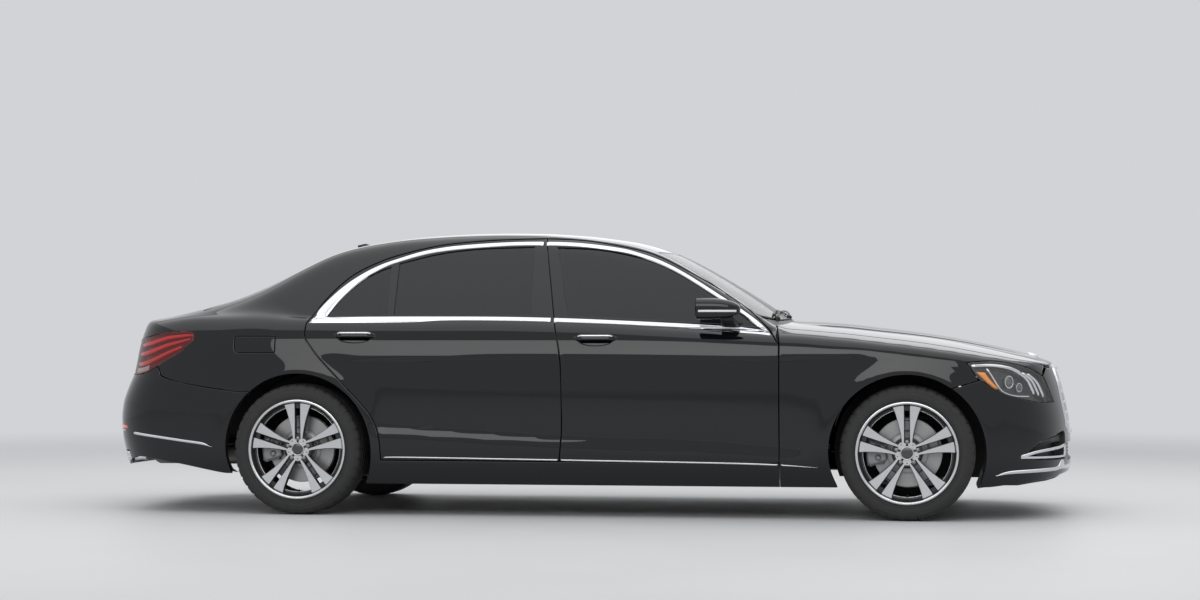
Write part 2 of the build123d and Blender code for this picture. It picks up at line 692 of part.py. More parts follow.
with BuildPart() as rear_axle:
    add(block(rear_axle_x - 230, rear_axle_x - 170, -470, 470, 235, 300))
    add(block(rear_axle_x + 170, rear_axle_x + 230, -470, 470, 235, 300))
    add(block(rear_axle_x - 230, rear_axle_x + 230, -470, -410, 235, 300))
    add(block(rear_axle_x - 230, rear_axle_x + 230, 410, 470, 235, 300))
    add(block(rear_axle_x - 175, rear_axle_x + 175, -105, 105, 240, 370))
    for side in (-1, 1):
        add(on_wheel(upright_form.part, "rear", side))
        reach = side * (track_half["rear"] - 70)
        foot = side * 440
        low, high = min(reach, foot), max(reach, foot)
        add(block(rear_axle_x - 26, rear_axle_x + 26, low, high, 196, 226))
        add(block(rear_axle_x - 230, rear_axle_x - 26, *sorted((foot, foot + side * 60)), 196, 240))
        add(block(rear_axle_x + 26, rear_axle_x + 230, *sorted((foot, foot + side * 60)), 196, 240))
        add(cross_cylinder(rear_axle_x, wheel_radius, 20, *sorted((side * 100, side * 760))))
save(rear_axle.part, "rear_axle")

with BuildPart() as engine:
    add(block(1290, 2060, -290, 290, 250, 740))
save(engine.part, "engine")

with BuildPart() as exhaust:
    for side in (-1, 1):
        middle = side * 70
        add(block(-980, 1180, middle - 28, middle + 28, 160, 200))
        add(block(-1180, -980, middle - 45, middle + 45, 160, 225))
        add(block(-2330, -1730, side * 470 - 118, side * 470 + 118, 215, 340))
        add(block(-1760, -1700, *sorted((side * 20, side * 560)), 232, 290))
        add(block(-2496, -2320, *sorted((side * 470, side * 680)), *tailpipe_heights))
    add(block(-1730, -1170, -45, 45, 180, 226))
    add(block(-1760, -1700, -60, 60, 180, 290))
    add(block(-1190, -1160, -110, 110, 170, 220))
save(exhaust.part, "exhaust")

# ---------------------------------------------------------------- cabin
wheel_centre = (430.0, 375.0, 872.0)
column_tilt = 24.0
column_axis = (-math.cos(math.radians(column_tilt)), 0.0, math.sin(math.radians(column_tilt)))
column_plane = Plane(origin=wheel_centre, x_dir=(0, 1, 0), z_dir=column_axis)

with BuildPart() as steering_wheel:
    with BuildSketch(column_plane.offset(-14)):
        Circle(188)
        Circle(160, mode=Mode.SUBTRACT)
        with Locations((0, 0)):
            Circle(62)
        Rectangle(340, 34)
        with Locations((0, -90)):
            Rectangle(40, 160)
    extrude(amount=28)
save(steering_wheel.part, "steering_wheel")

dash_outline = [(640, 720), (655, 860), (720, 936), (900, 952), (1030, 930), (1080, 900), (1080, 700)]
dash_outline += [(760, 560)]
console_outline = [(-180, 352), (-180, 560), (150, 620), (560, 640), (760, 700), (900, 700), (900, 352)]
with BuildPart() as dashboard:
    add(side_prism(dash_outline, -760, 760))
    add(side_prism(console_outline, -150, 150))
    with BuildSketch(column_plane.offset(-330)):
        Circle(38)
    extrude(amount=300)
save(dashboard.part, "dashboard")

seat_cushion = [(-130, 300), (-150, 470), (-60, 500), (330, 548), (392, 520), (392, 420), (250, 300)]
seat_back = [(-110, 420), (-100, 500), (-180, 760), (-262, 1010), (-300, 1020), (-345, 1000), (-330, 700)]
seat_back += [(-240, 420)]
headrest = [(-300, 1000), (-262, 990), (-262, 1195), (-330, 1205), (-350, 1080), (-335, 990)]
seat_foot = [(-100, 214), (-100, 302), (250, 302), (250, 214)]


def front_seat(side):
    """Cushion, back and headrest of one front seat."""
    middle = side * 375
    with BuildPart() as seat:
        add(side_prism(seat_cushion, middle - 215, middle + 215))
        add(side_prism(seat_back, middle - 205, middle + 205))
        add(side_prism(headrest, middle - 118, middle + 118))
        add(side_prism(seat_foot, middle - 180, middle + 180))
    return seat.part


save(pair(front_seat), "front_seats")

bench = [(-1010, 362), (-1010, 500), (-1000, 520), (-560, 552), (-520, 520), (-540, 362)]
bench_back = [(-1030, 404), (-1010, 480), (-1000, 520), (-1080, 760), (-1170, 990), (-1290, 1000)]
bench_back += [(-1298, 600), (-1298, 404)]
rear_headrest = [(-1170, 985), (-1290, 998), (-1290, 1180), (-1230, 1190), (-1180, 1170)]
with BuildPart() as rear_seat:
    add(side_prism(bench, -640, 640))
    add(side_prism(bench_back, -570, 570))
    for middle in (-350, 350):
        add(side_prism(rear_headrest, middle - 120, middle + 120))
save(rear_seat.part, "rear_seat")

# ---------------------------------------------------------------- mirrors
for side, word in ((-1, "right"), (1, "left")):
    low, high = sorted((side * 922, side * 1060))
    foot_low, foot_high = sorted((side * 840, side * 1000))
    with BuildPart() as mirror:
        add(block(672, 900, low, high, 1016, 1126))
        fillet(mirror.edges(), 26)
        add(block(800, 890, foot_low, foot_high, 984, 1022))
        add(body_outer, mode=Mode.SUBTRACT)
        add(cabin_outer, mode=Mode.SUBTRACT)
    save(mirror.part, f"mirror_{word}")
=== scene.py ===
import json
import math

import bpy
import numpy as np
from mathutils import Matrix, Vector, geometry


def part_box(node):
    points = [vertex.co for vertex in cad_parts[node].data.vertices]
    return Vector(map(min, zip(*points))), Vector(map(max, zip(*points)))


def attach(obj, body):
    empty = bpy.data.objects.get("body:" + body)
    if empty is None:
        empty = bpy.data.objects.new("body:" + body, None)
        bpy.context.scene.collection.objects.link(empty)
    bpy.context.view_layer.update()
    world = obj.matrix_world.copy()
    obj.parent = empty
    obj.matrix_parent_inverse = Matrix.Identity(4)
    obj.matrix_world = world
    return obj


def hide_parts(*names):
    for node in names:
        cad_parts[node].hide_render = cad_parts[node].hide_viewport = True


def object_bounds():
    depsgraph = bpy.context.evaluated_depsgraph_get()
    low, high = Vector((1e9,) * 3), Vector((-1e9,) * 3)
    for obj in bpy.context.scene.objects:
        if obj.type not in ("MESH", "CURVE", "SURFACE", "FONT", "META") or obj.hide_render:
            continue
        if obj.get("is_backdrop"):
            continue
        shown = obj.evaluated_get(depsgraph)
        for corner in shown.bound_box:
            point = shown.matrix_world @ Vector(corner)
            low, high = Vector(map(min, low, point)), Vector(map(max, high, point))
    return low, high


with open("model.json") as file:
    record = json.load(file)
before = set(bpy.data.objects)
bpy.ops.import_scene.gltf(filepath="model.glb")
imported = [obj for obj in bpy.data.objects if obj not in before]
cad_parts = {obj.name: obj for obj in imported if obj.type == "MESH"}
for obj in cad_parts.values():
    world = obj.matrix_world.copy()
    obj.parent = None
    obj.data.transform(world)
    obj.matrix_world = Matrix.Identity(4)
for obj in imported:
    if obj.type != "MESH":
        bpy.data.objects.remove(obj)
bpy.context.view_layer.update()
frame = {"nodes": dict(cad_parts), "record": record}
scene = bpy.context.scene
print("frame loaded")

# places taken from the frame
wheelBoxes = {axle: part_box(f"{axle}_rim_left") for axle in ("front", "rear")}
axleX = {axle: (low.x + high.x) / 2 for axle, (low, high) in wheelBoxes.items()}
wheelY = {axle: (low.y + high.y) / 2 for axle, (low, high) in wheelBoxes.items()}
wheelZ = (wheelBoxes["front"][0].z + wheelBoxes["front"][1].z) / 2
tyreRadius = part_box("front_tyre_left")[1].z - wheelZ
archRadius = 0.396
spacing = 0.010          # between the places along a panel's outline


# material maths: a wrapped socket that takes part in Python expressions
class Shade:
    def __init__(self, tree, socket=None):
        self.tree = tree
        self.socket = socket

    def add(self, kind, settings, values, out=0):
        node = self.tree.nodes.new(kind)
        for key, value in settings.items():
            if key == "stops":
                ramp = node.color_ramp
                while len(ramp.elements) < len(value):
                    ramp.elements.new(1.0)
                for element, (place, colour) in zip(ramp.elements, value):
                    element.position = place
                    element.color = colour
            else:
                setattr(node, key, value)
        for key, value in values.items():
            if isinstance(value, Shade):
                self.tree.links.new(value.socket, node.inputs[key])
            else:
                node.inputs[key].default_value = value
        return Shade(self.tree, node.outputs[out] if node.outputs else None)

    def maths(self, operation, *values):
        return self.add("ShaderNodeMath", {"operation": operation}, dict(enumerate(values)))

    def __add__(self, other):
        return self.maths("ADD", self, other)

    def __mul__(self, other):
        return self.maths("MULTIPLY", self, other)

    __radd__ = __add__
    __rmul__ = __mul__

    def mix(self, low, high):
        # the wrapped value blends two colours
        return self.add("ShaderNodeMix", {"data_type": "RGBA"}, {0: self, 6: low, 7: high}, out=2)

    def noise(self, scale, detail=3.0, rough=0.55):
        return self.add("ShaderNodeTexNoise", {}, {"Vector": self, "Scale": scale, "Detail": detail,
                                                   "Roughness": rough})

    def bump(self, strength, distance):
        return self.add("ShaderNodeBump", {}, {"Height": self, "Strength": strength,
                                               "Distance": distance})


def colour(red, green=None, blue=None):
    return (red, red if green is None else green, red if blue is None else blue, 1.0)


def placed(name, data):
    made = bpy.data.objects.new(name, data)
    scene.collection.objects.link(made)
    return made


materials = {}


def material(name, make, **constants):
    # make gets a wrapped tree with its object coordinates and returns what varies over the surface
    made = bpy.data.materials.new(name)
    made.use_nodes = True
    tree = made.node_tree
    tree.nodes.clear()
    shade = Shade(tree)
    place = shade.add("ShaderNodeTexCoord", {}, {}, out="Object")
    shader = shade.add("ShaderNodeBsdfPrincipled", {}, {**constants, **make(place)})
    shade.add("ShaderNodeOutputMaterial", {}, {"Surface": shader})
    materials[name] = made
    return made


def varied(dark, light, scale, roughLow, roughHigh, bumpScale=None, bumpDepth=0.0002, bumpStrength=0.3):
    # two close colours and a roughness that wander over the surface, with a fine grain if asked for
    def make(place):
        cloud = place.noise(scale)
        values = {"Base Color": cloud.mix(dark, light),
                  "Roughness": roughLow + place.noise(scale * 2.7, 5.0) * (roughHigh - roughLow)}
        if bumpScale:
            values["Normal"] = place.noise(bumpScale, 4.0).bump(bumpStrength, bumpDepth)
        return values
    return make


# dark and light colour, size of the clouds, least and most roughness, grain if any, and constant values
finishes = {
    "paint": (colour(0.0022, 0.0026, 0.0036), colour(0.0034, 0.0042, 0.0058), 900.0, 0.05, 0.09,
        {"Coat Weight": 1.0, "Coat Roughness": 0.012, "Coat IOR": 1.5, "Specular IOR Level": 0.0}),
    "glass": (colour(0.004, 0.005, 0.006), colour(0.007, 0.008, 0.010), 3.0, 0.015, 0.03,
        {"Alpha": 0.86, "IOR": 1.5}),
    "screenGlass": (colour(0.006, 0.008, 0.008), colour(0.010, 0.012, 0.012), 3.0, 0.015, 0.03,
        {"Alpha": 0.62, "IOR": 1.5}),
    "brightTrim": (colour(0.66, 0.68, 0.71), colour(0.74, 0.75, 0.77), 40.0, 0.14, 0.22,
        {"Metallic": 1.0}),
    "blackTrim": (colour(0.012), colour(0.02), 60.0, 0.35, 0.5, 900.0, 0.0001, {}),
    "jamb": (colour(0.004, 0.0045, 0.006), colour(0.007, 0.008, 0.010), 40.0, 0.28, 0.4, {}),
    "liner": (colour(0.010), colour(0.016), 30.0, 0.7, 0.9, 400.0, 0.0004, {}),
    "tyreRubber": (colour(0.016), colour(0.026), 25.0, 0.62, 0.78, 700.0, 0.0002, {}),
    "alloyFace": (colour(0.60, 0.61, 0.62), colour(0.68, 0.69, 0.70), 60.0, 0.2, 0.28,
        {"Metallic": 1.0}),
    "alloyDark": (colour(0.035), colour(0.055), 50.0, 0.3, 0.42, {"Metallic": 0.6}),
    "capFinish": (colour(0.05), colour(0.07), 80.0, 0.2, 0.3, {"Metallic": 0.5, "Coat Weight": 0.6}),
    "boltSteel": (colour(0.22), colour(0.3), 80.0, 0.3, 0.4, {"Metallic": 1.0}),
    "caliperPaint": (colour(0.30, 0.31, 0.32), colour(0.36, 0.37, 0.38), 30.0, 0.35, 0.5,
        {"Metallic": 0.3}),
    "mirrorFinish": (colour(0.82), colour(0.86), 8.0, 0.01, 0.02, {"Metallic": 1.0}),
    "heatSteel": (colour(0.13, 0.12, 0.11), colour(0.22, 0.21, 0.20), 9.0, 0.35, 0.55, 120.0, 0.0004,
        {"Metallic": 1.0}),
    "iron": (colour(0.28), colour(0.4), 120.0, 0.3, 0.45, {"Metallic": 1.0}),
    "chassisMetal": (colour(0.10), colour(0.17), 20.0, 0.45, 0.65, 300.0, 0.0005, {"Metallic": 0.7}),
    "underbody": (colour(0.015), colour(0.03), 12.0, 0.6, 0.85, 220.0, 0.0006, {}),
    "leather": (colour(0.020, 0.018, 0.017), colour(0.034, 0.031, 0.029), 14.0, 0.42, 0.55, 900.0,
        0.0003, {}),
    "dashSkin": (colour(0.016), colour(0.024), 18.0, 0.5, 0.62, 1100.0, 0.0003, {}),
    "lining": (colour(0.30, 0.29, 0.27), colour(0.35, 0.34, 0.32), 40.0, 0.85, 0.95, 900.0, 0.0004,
        {}),
    "carpet": (colour(0.012), colour(0.030), 260.0, 0.9, 1.0, 600.0, 0.002, 0.7, {}),
    "lampRed": (colour(0.16, 0.002, 0.004), colour(0.24, 0.004, 0.006), 20.0, 0.02, 0.04,
        {"Coat Weight": 1.0, "Alpha": 0.46}),
    "lampClear": (colour(0.75), colour(0.85), 20.0, 0.02, 0.04, {"Alpha": 0.10}),
    "lampDark": (colour(0.03), colour(0.06), 60.0, 0.2, 0.3, {"Metallic": 0.8}),
    "lampAmber": (colour(0.75, 0.22, 0.01), colour(0.85, 0.30, 0.02), 60.0, 0.1, 0.2,
        {"Emission Color": colour(0.9, 0.3, 0.02), "Emission Strength": 0.15}),
    "lampWhite": (colour(0.75), colour(0.85), 60.0, 0.15, 0.25, {"Coat Weight": 1.0}),
    "eyeGlass": (colour(0.02, 0.025, 0.03), colour(0.03, 0.04, 0.05), 60.0, 0.02, 0.04,
        {"Coat Weight": 1.0, "Specular IOR Level": 0.9}),
    "redLight": (colour(0.75, 0.02, 0.02), colour(0.85, 0.03, 0.03), 90.0, 0.15, 0.25,
        {"Coat Weight": 1.0, "Emission Color": colour(0.9, 0.02, 0.01), "Emission Strength": 0.25})}
for name, (*values, constants) in finishes.items():
    material(name, varied(*values), **constants)


def woodGrain(place):
    stretched = place.add("ShaderNodeMapping", {}, {"Vector": place, "Scale": (60.0, 3.0, 60.0)})
    grain = stretched.noise(2.0, 6.0, 0.7)
    return {"Base Color": grain.mix(colour(0.020, 0.012, 0.007), colour(0.085, 0.050, 0.028)),
            "Roughness": 0.30 + grain * 0.15, "Normal": grain.bump(0.2, 0.0002)}


def perforated(place):
    dots = place.add("ShaderNodeTexVoronoi", {}, {"Vector": place, "Scale": 260.0}, out="Distance")
    return {"Base Color": dots.mix(colour(0.004), colour(0.06)), "Roughness": 0.45 + dots * 0.1,
            "Normal": dots.bump(0.6, 0.0006)}


material("woodTrim", woodGrain, **{"Coat Weight": 0.4})
material("mesh", perforated, **{"Metallic": 0.6})
print("materials made")

# the body's surface, as a smooth field that is negative inside the car
hoodCentre = [(-2.42, 1.030), (-2.26, 1.054), (-2.14, 1.079), (-2.036, 1.094), (-1.6, 1.098),
              (-0.9, 1.089),
              (-0.36, 1.090), (0.165, 1.073), (0.64, 1.043), (1.05, 1.014), (1.22, 1.013), (1.40, 1.001),
              (1.56, 0.981), (1.776, 0.956), (1.99, 0.922), (2.2, 0.879), (2.308, 0.853), (2.414, 0.822),
              (2.47, 0.800), (2.6, 0.745)]
noseReachPoints = [(0.10, 2.53), (0.215, 2.560), (0.262, 2.574), (0.32, 2.572), (0.405, 2.572),
                   (0.485, 2.570),
                   (0.549, 2.560), (0.634, 2.541), (0.709, 2.521), (0.773, 2.496), (0.84, 2.476),
                   (1.2, 2.47)]
tailReachPoints = [(0.15, 2.500), (0.25, 2.540), (0.38, 2.570), (0.50, 2.578), (0.60, 2.562),
                   (0.67, 2.535),
                   (0.74, 2.500), (0.88, 2.472), (0.96, 2.450), (1.03, 2.425), (1.2, 2.40)]
planWidthPoints = [(-2.6, 0.832), (-2.4, 0.855), (-2.15, 0.885), (-1.95, 0.907), (-1.7, 0.927),
                   (-1.43, 0.942),
                   (-1.0, 0.9495), (0.9, 0.9495), (1.3, 0.947), (1.735, 0.939), (1.95, 0.929),
                   (2.1, 0.92),
                   (2.3, 0.91), (2.6, 0.90)]
sectionPoints = [(0.15, -0.088), (0.20, -0.064), (0.26, -0.036), (0.32, -0.022), (0.42, -0.012),
                 (0.56, -0.003),
                 (0.68, 0.0), (0.80, -0.003), (0.88, -0.010), (0.93, -0.022), (0.97, -0.036),
                 (1.05, -0.072),
                 (1.3, -0.2)]
roofPoints = [(-2.2, 1.020), (-2.03, 1.103), (-1.793, 1.209), (-1.562, 1.309), (-1.331, 1.400),
              (-1.216, 1.431),
              (-1.10, 1.452), (-0.99, 1.468), (-0.873, 1.480), (-0.646, 1.493), (-0.42, 1.497),
              (-0.196, 1.493),
              (0.028, 1.477), (0.25, 1.447), (0.36, 1.421), (0.47, 1.382), (0.582, 1.326), (0.69, 1.266),
              (0.8, 1.202), (0.91, 1.134), (1.02, 1.062), (1.09, 1.014), (1.3, 0.87)]
houseWidthPoints = [(-2.2, 0.64), (-2.0, 0.71), (-1.7, 0.795), (-1.4, 0.846), (-1.0, 0.870),
                    (-0.5, 0.877),
                    (0.2, 0.876), (0.6, 0.868), (0.85, 0.856), (1.0, 0.842), (1.15, 0.82)]


def smoothLine(points, sigma, step=0.004):
    # a curve close to the points, with its corners rounded over about sigma
    xs = np.array([p[0] for p in points])
    ys = np.array([p[1] for p in points])
    reach = 8 * sigma
    grid = np.arange(xs[0] - reach, xs[-1] + reach, step)
    values = np.interp(grid, xs, ys)
    before, after = grid < xs[0], grid > xs[-1]
    values[before] = ys[0] + (grid[before] - xs[0]) * (ys[1] - ys[0]) / (xs[1] - xs[0])
    values[after] = ys[-1] + (grid[after] - xs[-1]) * (ys[-1] - ys[-2]) / (xs[-1] - xs[-2])
    half = int(4 * sigma / step)
    kernel = np.exp(-0.5 * (np.arange(-half, half + 1) * step / sigma) ** 2)
    smooth = np.convolve(values, kernel / kernel.sum(), "valid")
    inner = grid[half:half + len(smooth)]
    return lambda q: np.interp(q, inner, smooth)


def ramp(q, low, high):
    t = np.clip((q - low) / (high - low), 0, 1)
    return t * t * (3 - 2 * t)


def window(q, a, b, c, d):
    # rises from a to b, falls from c to d
    return ramp(q, a, b) * (1 - ramp(q, c, d))


def smoothMax(a, b, radius):
    h = np.maximum(radius - np.abs(a - b), 0) / radius
    return np.maximum(a, b) + h ** 3 * radius / 6


noseReach = smoothLine(noseReachPoints, 0.022)
tailReach = smoothLine(tailReachPoints, 0.018)
planWidth = smoothLine(planWidthPoints, 0.12)
section = smoothLine(sectionPoints, 0.03)
topCentre = smoothLine(hoodCentre, 0.06)
roofCentre = smoothLine(roofPoints, 0.05)
houseWidth = smoothLine(houseWidthPoints, 0.12)
waistHeight = smoothLine([(-1.3, 0.806), (-1.09, 0.808), (-0.35, 0.822), (0.28, 0.820), (1.10, 0.816),
                          (1.50, 0.832), (1.8, 0.845)], 0.12)
lowerHeight = smoothLine([(-1.2, 0.485), (-0.98, 0.471), (-0.03, 0.414), (0.69, 0.398), (1.22, 0.356),
                          (1.4, 0.34)], 0.08)
bumperHeight = smoothLine([(-2.7, 0.585), (-2.45, 0.578), (-2.275, 0.566), (-2.11, 0.540), (-1.87, 0.520),
                           (-1.6, 0.50)], 0.06)
waistShape = smoothLine([(-0.4, -0.0002), (-0.2, -0.0012), (-0.1, -0.0026), (-0.05, -0.0040),
                         (-0.008, -0.0052),
                         (0.006, 0.0042), (0.03, 0.0034), (0.07, 0.0012), (0.12, 0.0), (0.3, 0.0)], 0.004,
                        0.001)
lowerShape = smoothLine([(-0.3, 0.0), (-0.12, 0.001), (-0.07, 0.002), (-0.05, 0.0005), (-0.002, -0.0115),
                         (0.02, -0.0105), (0.1, -0.0060), (0.2, -0.002), (0.3, 0.0), (0.5, 0.0)], 0.005,
                        0.001)
bumperShape = smoothLine([(-0.5, 0.0), (-0.15, 0.002), (-0.02, 0.004), (-0.002, 0.004), (0.03, -0.007),
                          (0.09, -0.014),
                          (0.2, -0.012), (0.4, -0.004), (0.5, 0.0)], 0.005, 0.001)
domeEdge = smoothLine([(1.0, 0.52), (1.6, 0.46), (2.1, 0.385), (2.5, 0.33)], 0.1)


def sideOffset(x, z):
    # how far the side stands in or out from the widest line, creases and arch flares included
    waist = waistShape(z - waistHeight(x)) * window(x, -1.25, -0.95, 1.35, 1.56)
    lower = lowerShape(z - lowerHeight(x)) * window(x, -1.07, -0.96, 1.10, 1.30)
    bumper = bumperShape(z - bumperHeight(x)) * (1 - ramp(x, -2.05, -1.84))
    flare = 0.0
    for axle in ("front", "rear"):
        radius = np.sqrt((x - axleX[axle]) ** 2 + (z - wheelZ) ** 2)
        flare = flare + 0.009 * np.exp(-((radius - archRadius) / 0.06) ** 2) * ramp(z, 0.16, 0.4)
    return section(z) + waist + lower + bumper + flare


def lowerField(x, y, z):
    toFront = x > 0
    reach = np.where(toFront, noseReach(z), tailReach(z))
    along = np.where(toFront, 14.7, 20.0)
    across = np.where(toFront, 2.2, 2.4)
    width = planWidth(x) + sideOffset(x, z)
    far = (np.abs(x) / reach) ** along
    wide = (np.abs(y) / width) ** across
    slope = np.hypot(along * far / np.maximum(np.abs(x), 0.01),
                     across * wide / np.maximum(np.abs(y), 0.01))
    around = (far + wide - 1) / np.maximum(slope, 1.0)
    dome = 0.008 * (1 - ramp(np.abs(y), domeEdge(x) - 0.03,
                             domeEdge(x) + 0.03)) * window(x, 1.1, 1.35, 2.25, 2.45)
    top = topCentre(x) - 0.008 * window(x, 1.1, 1.35, 2.25,
                                        2.45) + dome - 0.045 * (np.abs(y) / 0.735) ** 2.4
    return smoothMax(around, z - top,
                     0.075 - 0.03 * ramp(x, 2.1, 2.4) - 0.035 * (1 - ramp(x, -2.35, -2.1)))


def houseField(x, y, z):
    bow = 0.09 * ramp(x, 0.2, 0.7) - 0.22 * (1 - ramp(x, -1.75, -1.2))
    top = roofCentre(x + bow * y * y) - (0.030 - 0.020 * ramp(x, 0.25, 0.65)) * (np.abs(y) / 0.6) ** 2.2
    rise = np.maximum(z - 1.01, -0.03)
    below = np.maximum(0.98 - z, 0)
    side = houseWidth(x) - 0.5 * (rise + below) + 0.010 * (1 - ((rise - 0.21) / 0.21) ** 2)
    shell = smoothMax(np.abs(y) - side, z - top, 0.10 - 0.04 * ramp(x, 0.25, 0.65))
    return np.maximum(shell, np.maximum(0.90 - z, -2.15 - x))


def bodyField(points):
    x, y, z = points[:, 0], points[:, 1], points[:, 2]
    fillet = 0.015 + 0.13 * (1 - ramp(x, -1.75, -1.38)) + 0.05 * ramp(x, 0.95, 1.1)
    return -smoothMax(-lowerField(x, y, z), -houseField(x, y, z), fillet)


def castRays(starts, directions, reach):
    # from inside the car to its surface, by halving the interval and a last step in proportion
    low = np.zeros(len(starts))
    high = np.full(len(starts), float(reach))
    for _ in range(11):
        middle = (low + high) / 2
        inside = bodyField(starts + directions * middle[:, None]) < 0
        low = np.where(inside, middle, low)
        high = np.where(inside, high, middle)
    for _ in range(2):
        under, over = (bodyField(starts + directions * end[:, None]) for end in (low, high))
        middle = low + (high - low) * np.clip(-under / np.maximum(over - under, 1e-9), 0.02, 0.98)
        inside = bodyField(starts + directions * middle[:, None]) < 0
        low = np.where(inside, middle, low)
        high = np.where(inside, high, middle)
    return starts + directions * middle[:, None]


def bodyNormals(points, step=0.003):
    normals = np.zeros_like(points)
    for axis in range(3):
        shift = np.zeros(3)
        shift[axis] = step
        normals[:, axis] = bodyField(points + shift) - bodyField(points - shift)
    return normals / np.linalg.norm(normals, axis=1)[:, None]


# charts: two flat coordinates to a point on the left half of the surface
def sideChart(flat):
    starts = np.column_stack([flat[:, 0], np.zeros(len(flat)), flat[:, 1]])
    return castRays(starts, np.tile([0.0, 1.0, 0.0], (len(flat), 1)), 1.1)


def topChart(flat):
    starts = np.column_stack([flat[:, 0], flat[:, 1], np.full(len(flat), 0.7)])
    return castRays(starts, np.tile([0.0, 0.0, 1.0], (len(flat), 1)), 0.9)


sectionFoot = 0.75
sectionReach = 0.8


def sectionChart(flat):
    # x, and an angle round the car's length, counted as a length at sectionReach
    angle = flat[:, 1] / sectionReach
    starts = np.column_stack([flat[:, 0], np.zeros(len(flat)), np.full(len(flat), sectionFoot)])
    return castRays(starts, np.column_stack([np.zeros(len(flat)), np.cos(angle), np.sin(angle)]), 1.3)


def sectionPlace(points):
    return np.column_stack([points[:, 0], np.arctan2(points[:, 2] - sectionFoot,
                                                     points[:, 1]) * sectionReach])


wrapReach = 0.75


def wrapChart(origin, facing):
    # an angle from straight ahead (or behind), counted as a length, and a height
    def chart(flat):
        angle = flat[:, 0] / wrapReach
        starts = np.column_stack([np.full(len(flat), origin), np.zeros(len(flat)), flat[:, 1]])
        aim = np.column_stack([facing * np.cos(angle), np.sin(angle), np.zeros(len(flat))])
        return castRays(starts, aim, 1.4)
    return chart


def wrapPlace(points, origin, facing):
    return np.column_stack([np.arctan2(points[:, 1], facing * (points[:, 0] - origin)) * wrapReach,
                            points[:, 2]])


noseOrigin, tailOrigin = 1.75, -1.55
noseChart, tailChart = wrapChart(noseOrigin, 1), wrapChart(tailOrigin, -1)


def towards(origin, aim, reach):
    # rays all one way, from places with the aim's own coordinate fixed at the origin
    axis = int(np.argmax(np.abs(aim)))

    def view(flat):
        flat = np.array(flat, float)
        starts = np.insert(flat, axis, origin, axis=1)
        return castRays(starts, np.tile(np.array(aim, float), (len(flat), 1)), reach)
    return view


def lidView(flat):
    # degrees up from straight back, round an axis across the boot, and y
    flat = np.array(flat, float)
    angle = np.radians(flat[:, 0])
    starts = np.column_stack([np.full(len(flat), lidAxisX), flat[:, 1], np.full(len(flat), lidAxisZ)])
    return castRays(starts, np.column_stack([-np.cos(angle), np.zeros(len(flat)), np.sin(angle)]), 0.8)


lidAxisX, lidAxisZ, lidReach = -2.10, 0.70, 0.40


def lidChart(flat):
    return lidView(np.column_stack([np.degrees(flat[:, 0] / lidReach), flat[:, 1]]))


def lidPlace(points):
    angle = np.arctan2(points[:, 2] - lidAxisZ, -(points[:, 0] - lidAxisX))
    return np.column_stack([angle * lidReach, points[:, 1]])


def nosePlace(points):
    return wrapPlace(points, noseOrigin, 1)


def tailPlace(points):
    return wrapPlace(points, tailOrigin, -1)


views = {"side": towards(0.0, (0, 1, 0), 1.1), "top": towards(0.7, (0, 0, 1), 0.9),
         "front": towards(noseOrigin, (1, 0, 0), 1.3), "back": towards(tailOrigin, (-1, 0, 0), 1.4),
         "lid": lidView}


# outlines
def smoothRun(points, spacing):
    # evenly spaced places along a curve through the points
    pts = np.array(points, float)
    if len(pts) > 2:
        padded = np.vstack([2 * pts[0] - pts[1], pts, 2 * pts[-1] - pts[-2]])
        dense = []
        for a, b, c, d in zip(padded, padded[1:], padded[2:], padded[3:]):
            t = np.linspace(0, 1, 12, endpoint=False)[:, None]
            dense.append(0.5 * (2 * b + (c - a) * t + (2 * a - 5 * b + 4 * c - d) * t ** 2
                                + (3 * b - a - 3 * c + d) * t ** 3))
        pts = np.vstack([*dense, pts[-1:]])
    lengths = np.concatenate([[0], np.cumsum(np.linalg.norm(np.diff(pts, axis=0), axis=1))])
    count = max(1, int(round(lengths[-1] / spacing)))
    places = np.linspace(0, lengths[-1], count + 1)
    return np.column_stack([np.interp(places, lengths, pts[:, i]) for i in range(pts.shape[1])])


def levelLine(across, height):
    return np.column_stack([across, np.full(len(across), height)])


def joined(runs, spacing):
    # runs that follow each other round a closed outline, each a smooth curve
    parts = [smoothRun(run, spacing)[:-1] for run in runs]
    return np.vstack(parts)


def fullTurn(count):
    return np.linspace(0, 2 * math.pi, count, endpoint=False)


def arcPoints(centre, radius, start, end, count=10):
    angles = np.radians(np.linspace(start, end, count))
    return [(centre[0] + radius * math.cos(a), centre[1] + radius * math.sin(a)) for a in angles]


def signedArea(loop):
    x, y = loop[:, 0], loop[:, 1]
    return 0.5 * np.sum(x * np.roll(y, -1) - np.roll(x, -1) * y)


def insideLoop(points, loop):
    x, y = points[:, 0][:, None], points[:, 1][:, None]
    ax, ay = loop[:, 0], loop[:, 1]
    bx, by = np.roll(ax, -1), np.roll(ay, -1)
    crosses = (ay > y) != (by > y)
    with np.errstate(divide="ignore", invalid="ignore"):
        at = (bx - ax) * (y - ay) / (by - ay) + ax
    return (np.sum(crosses & (x < at), axis=1) % 2) == 1


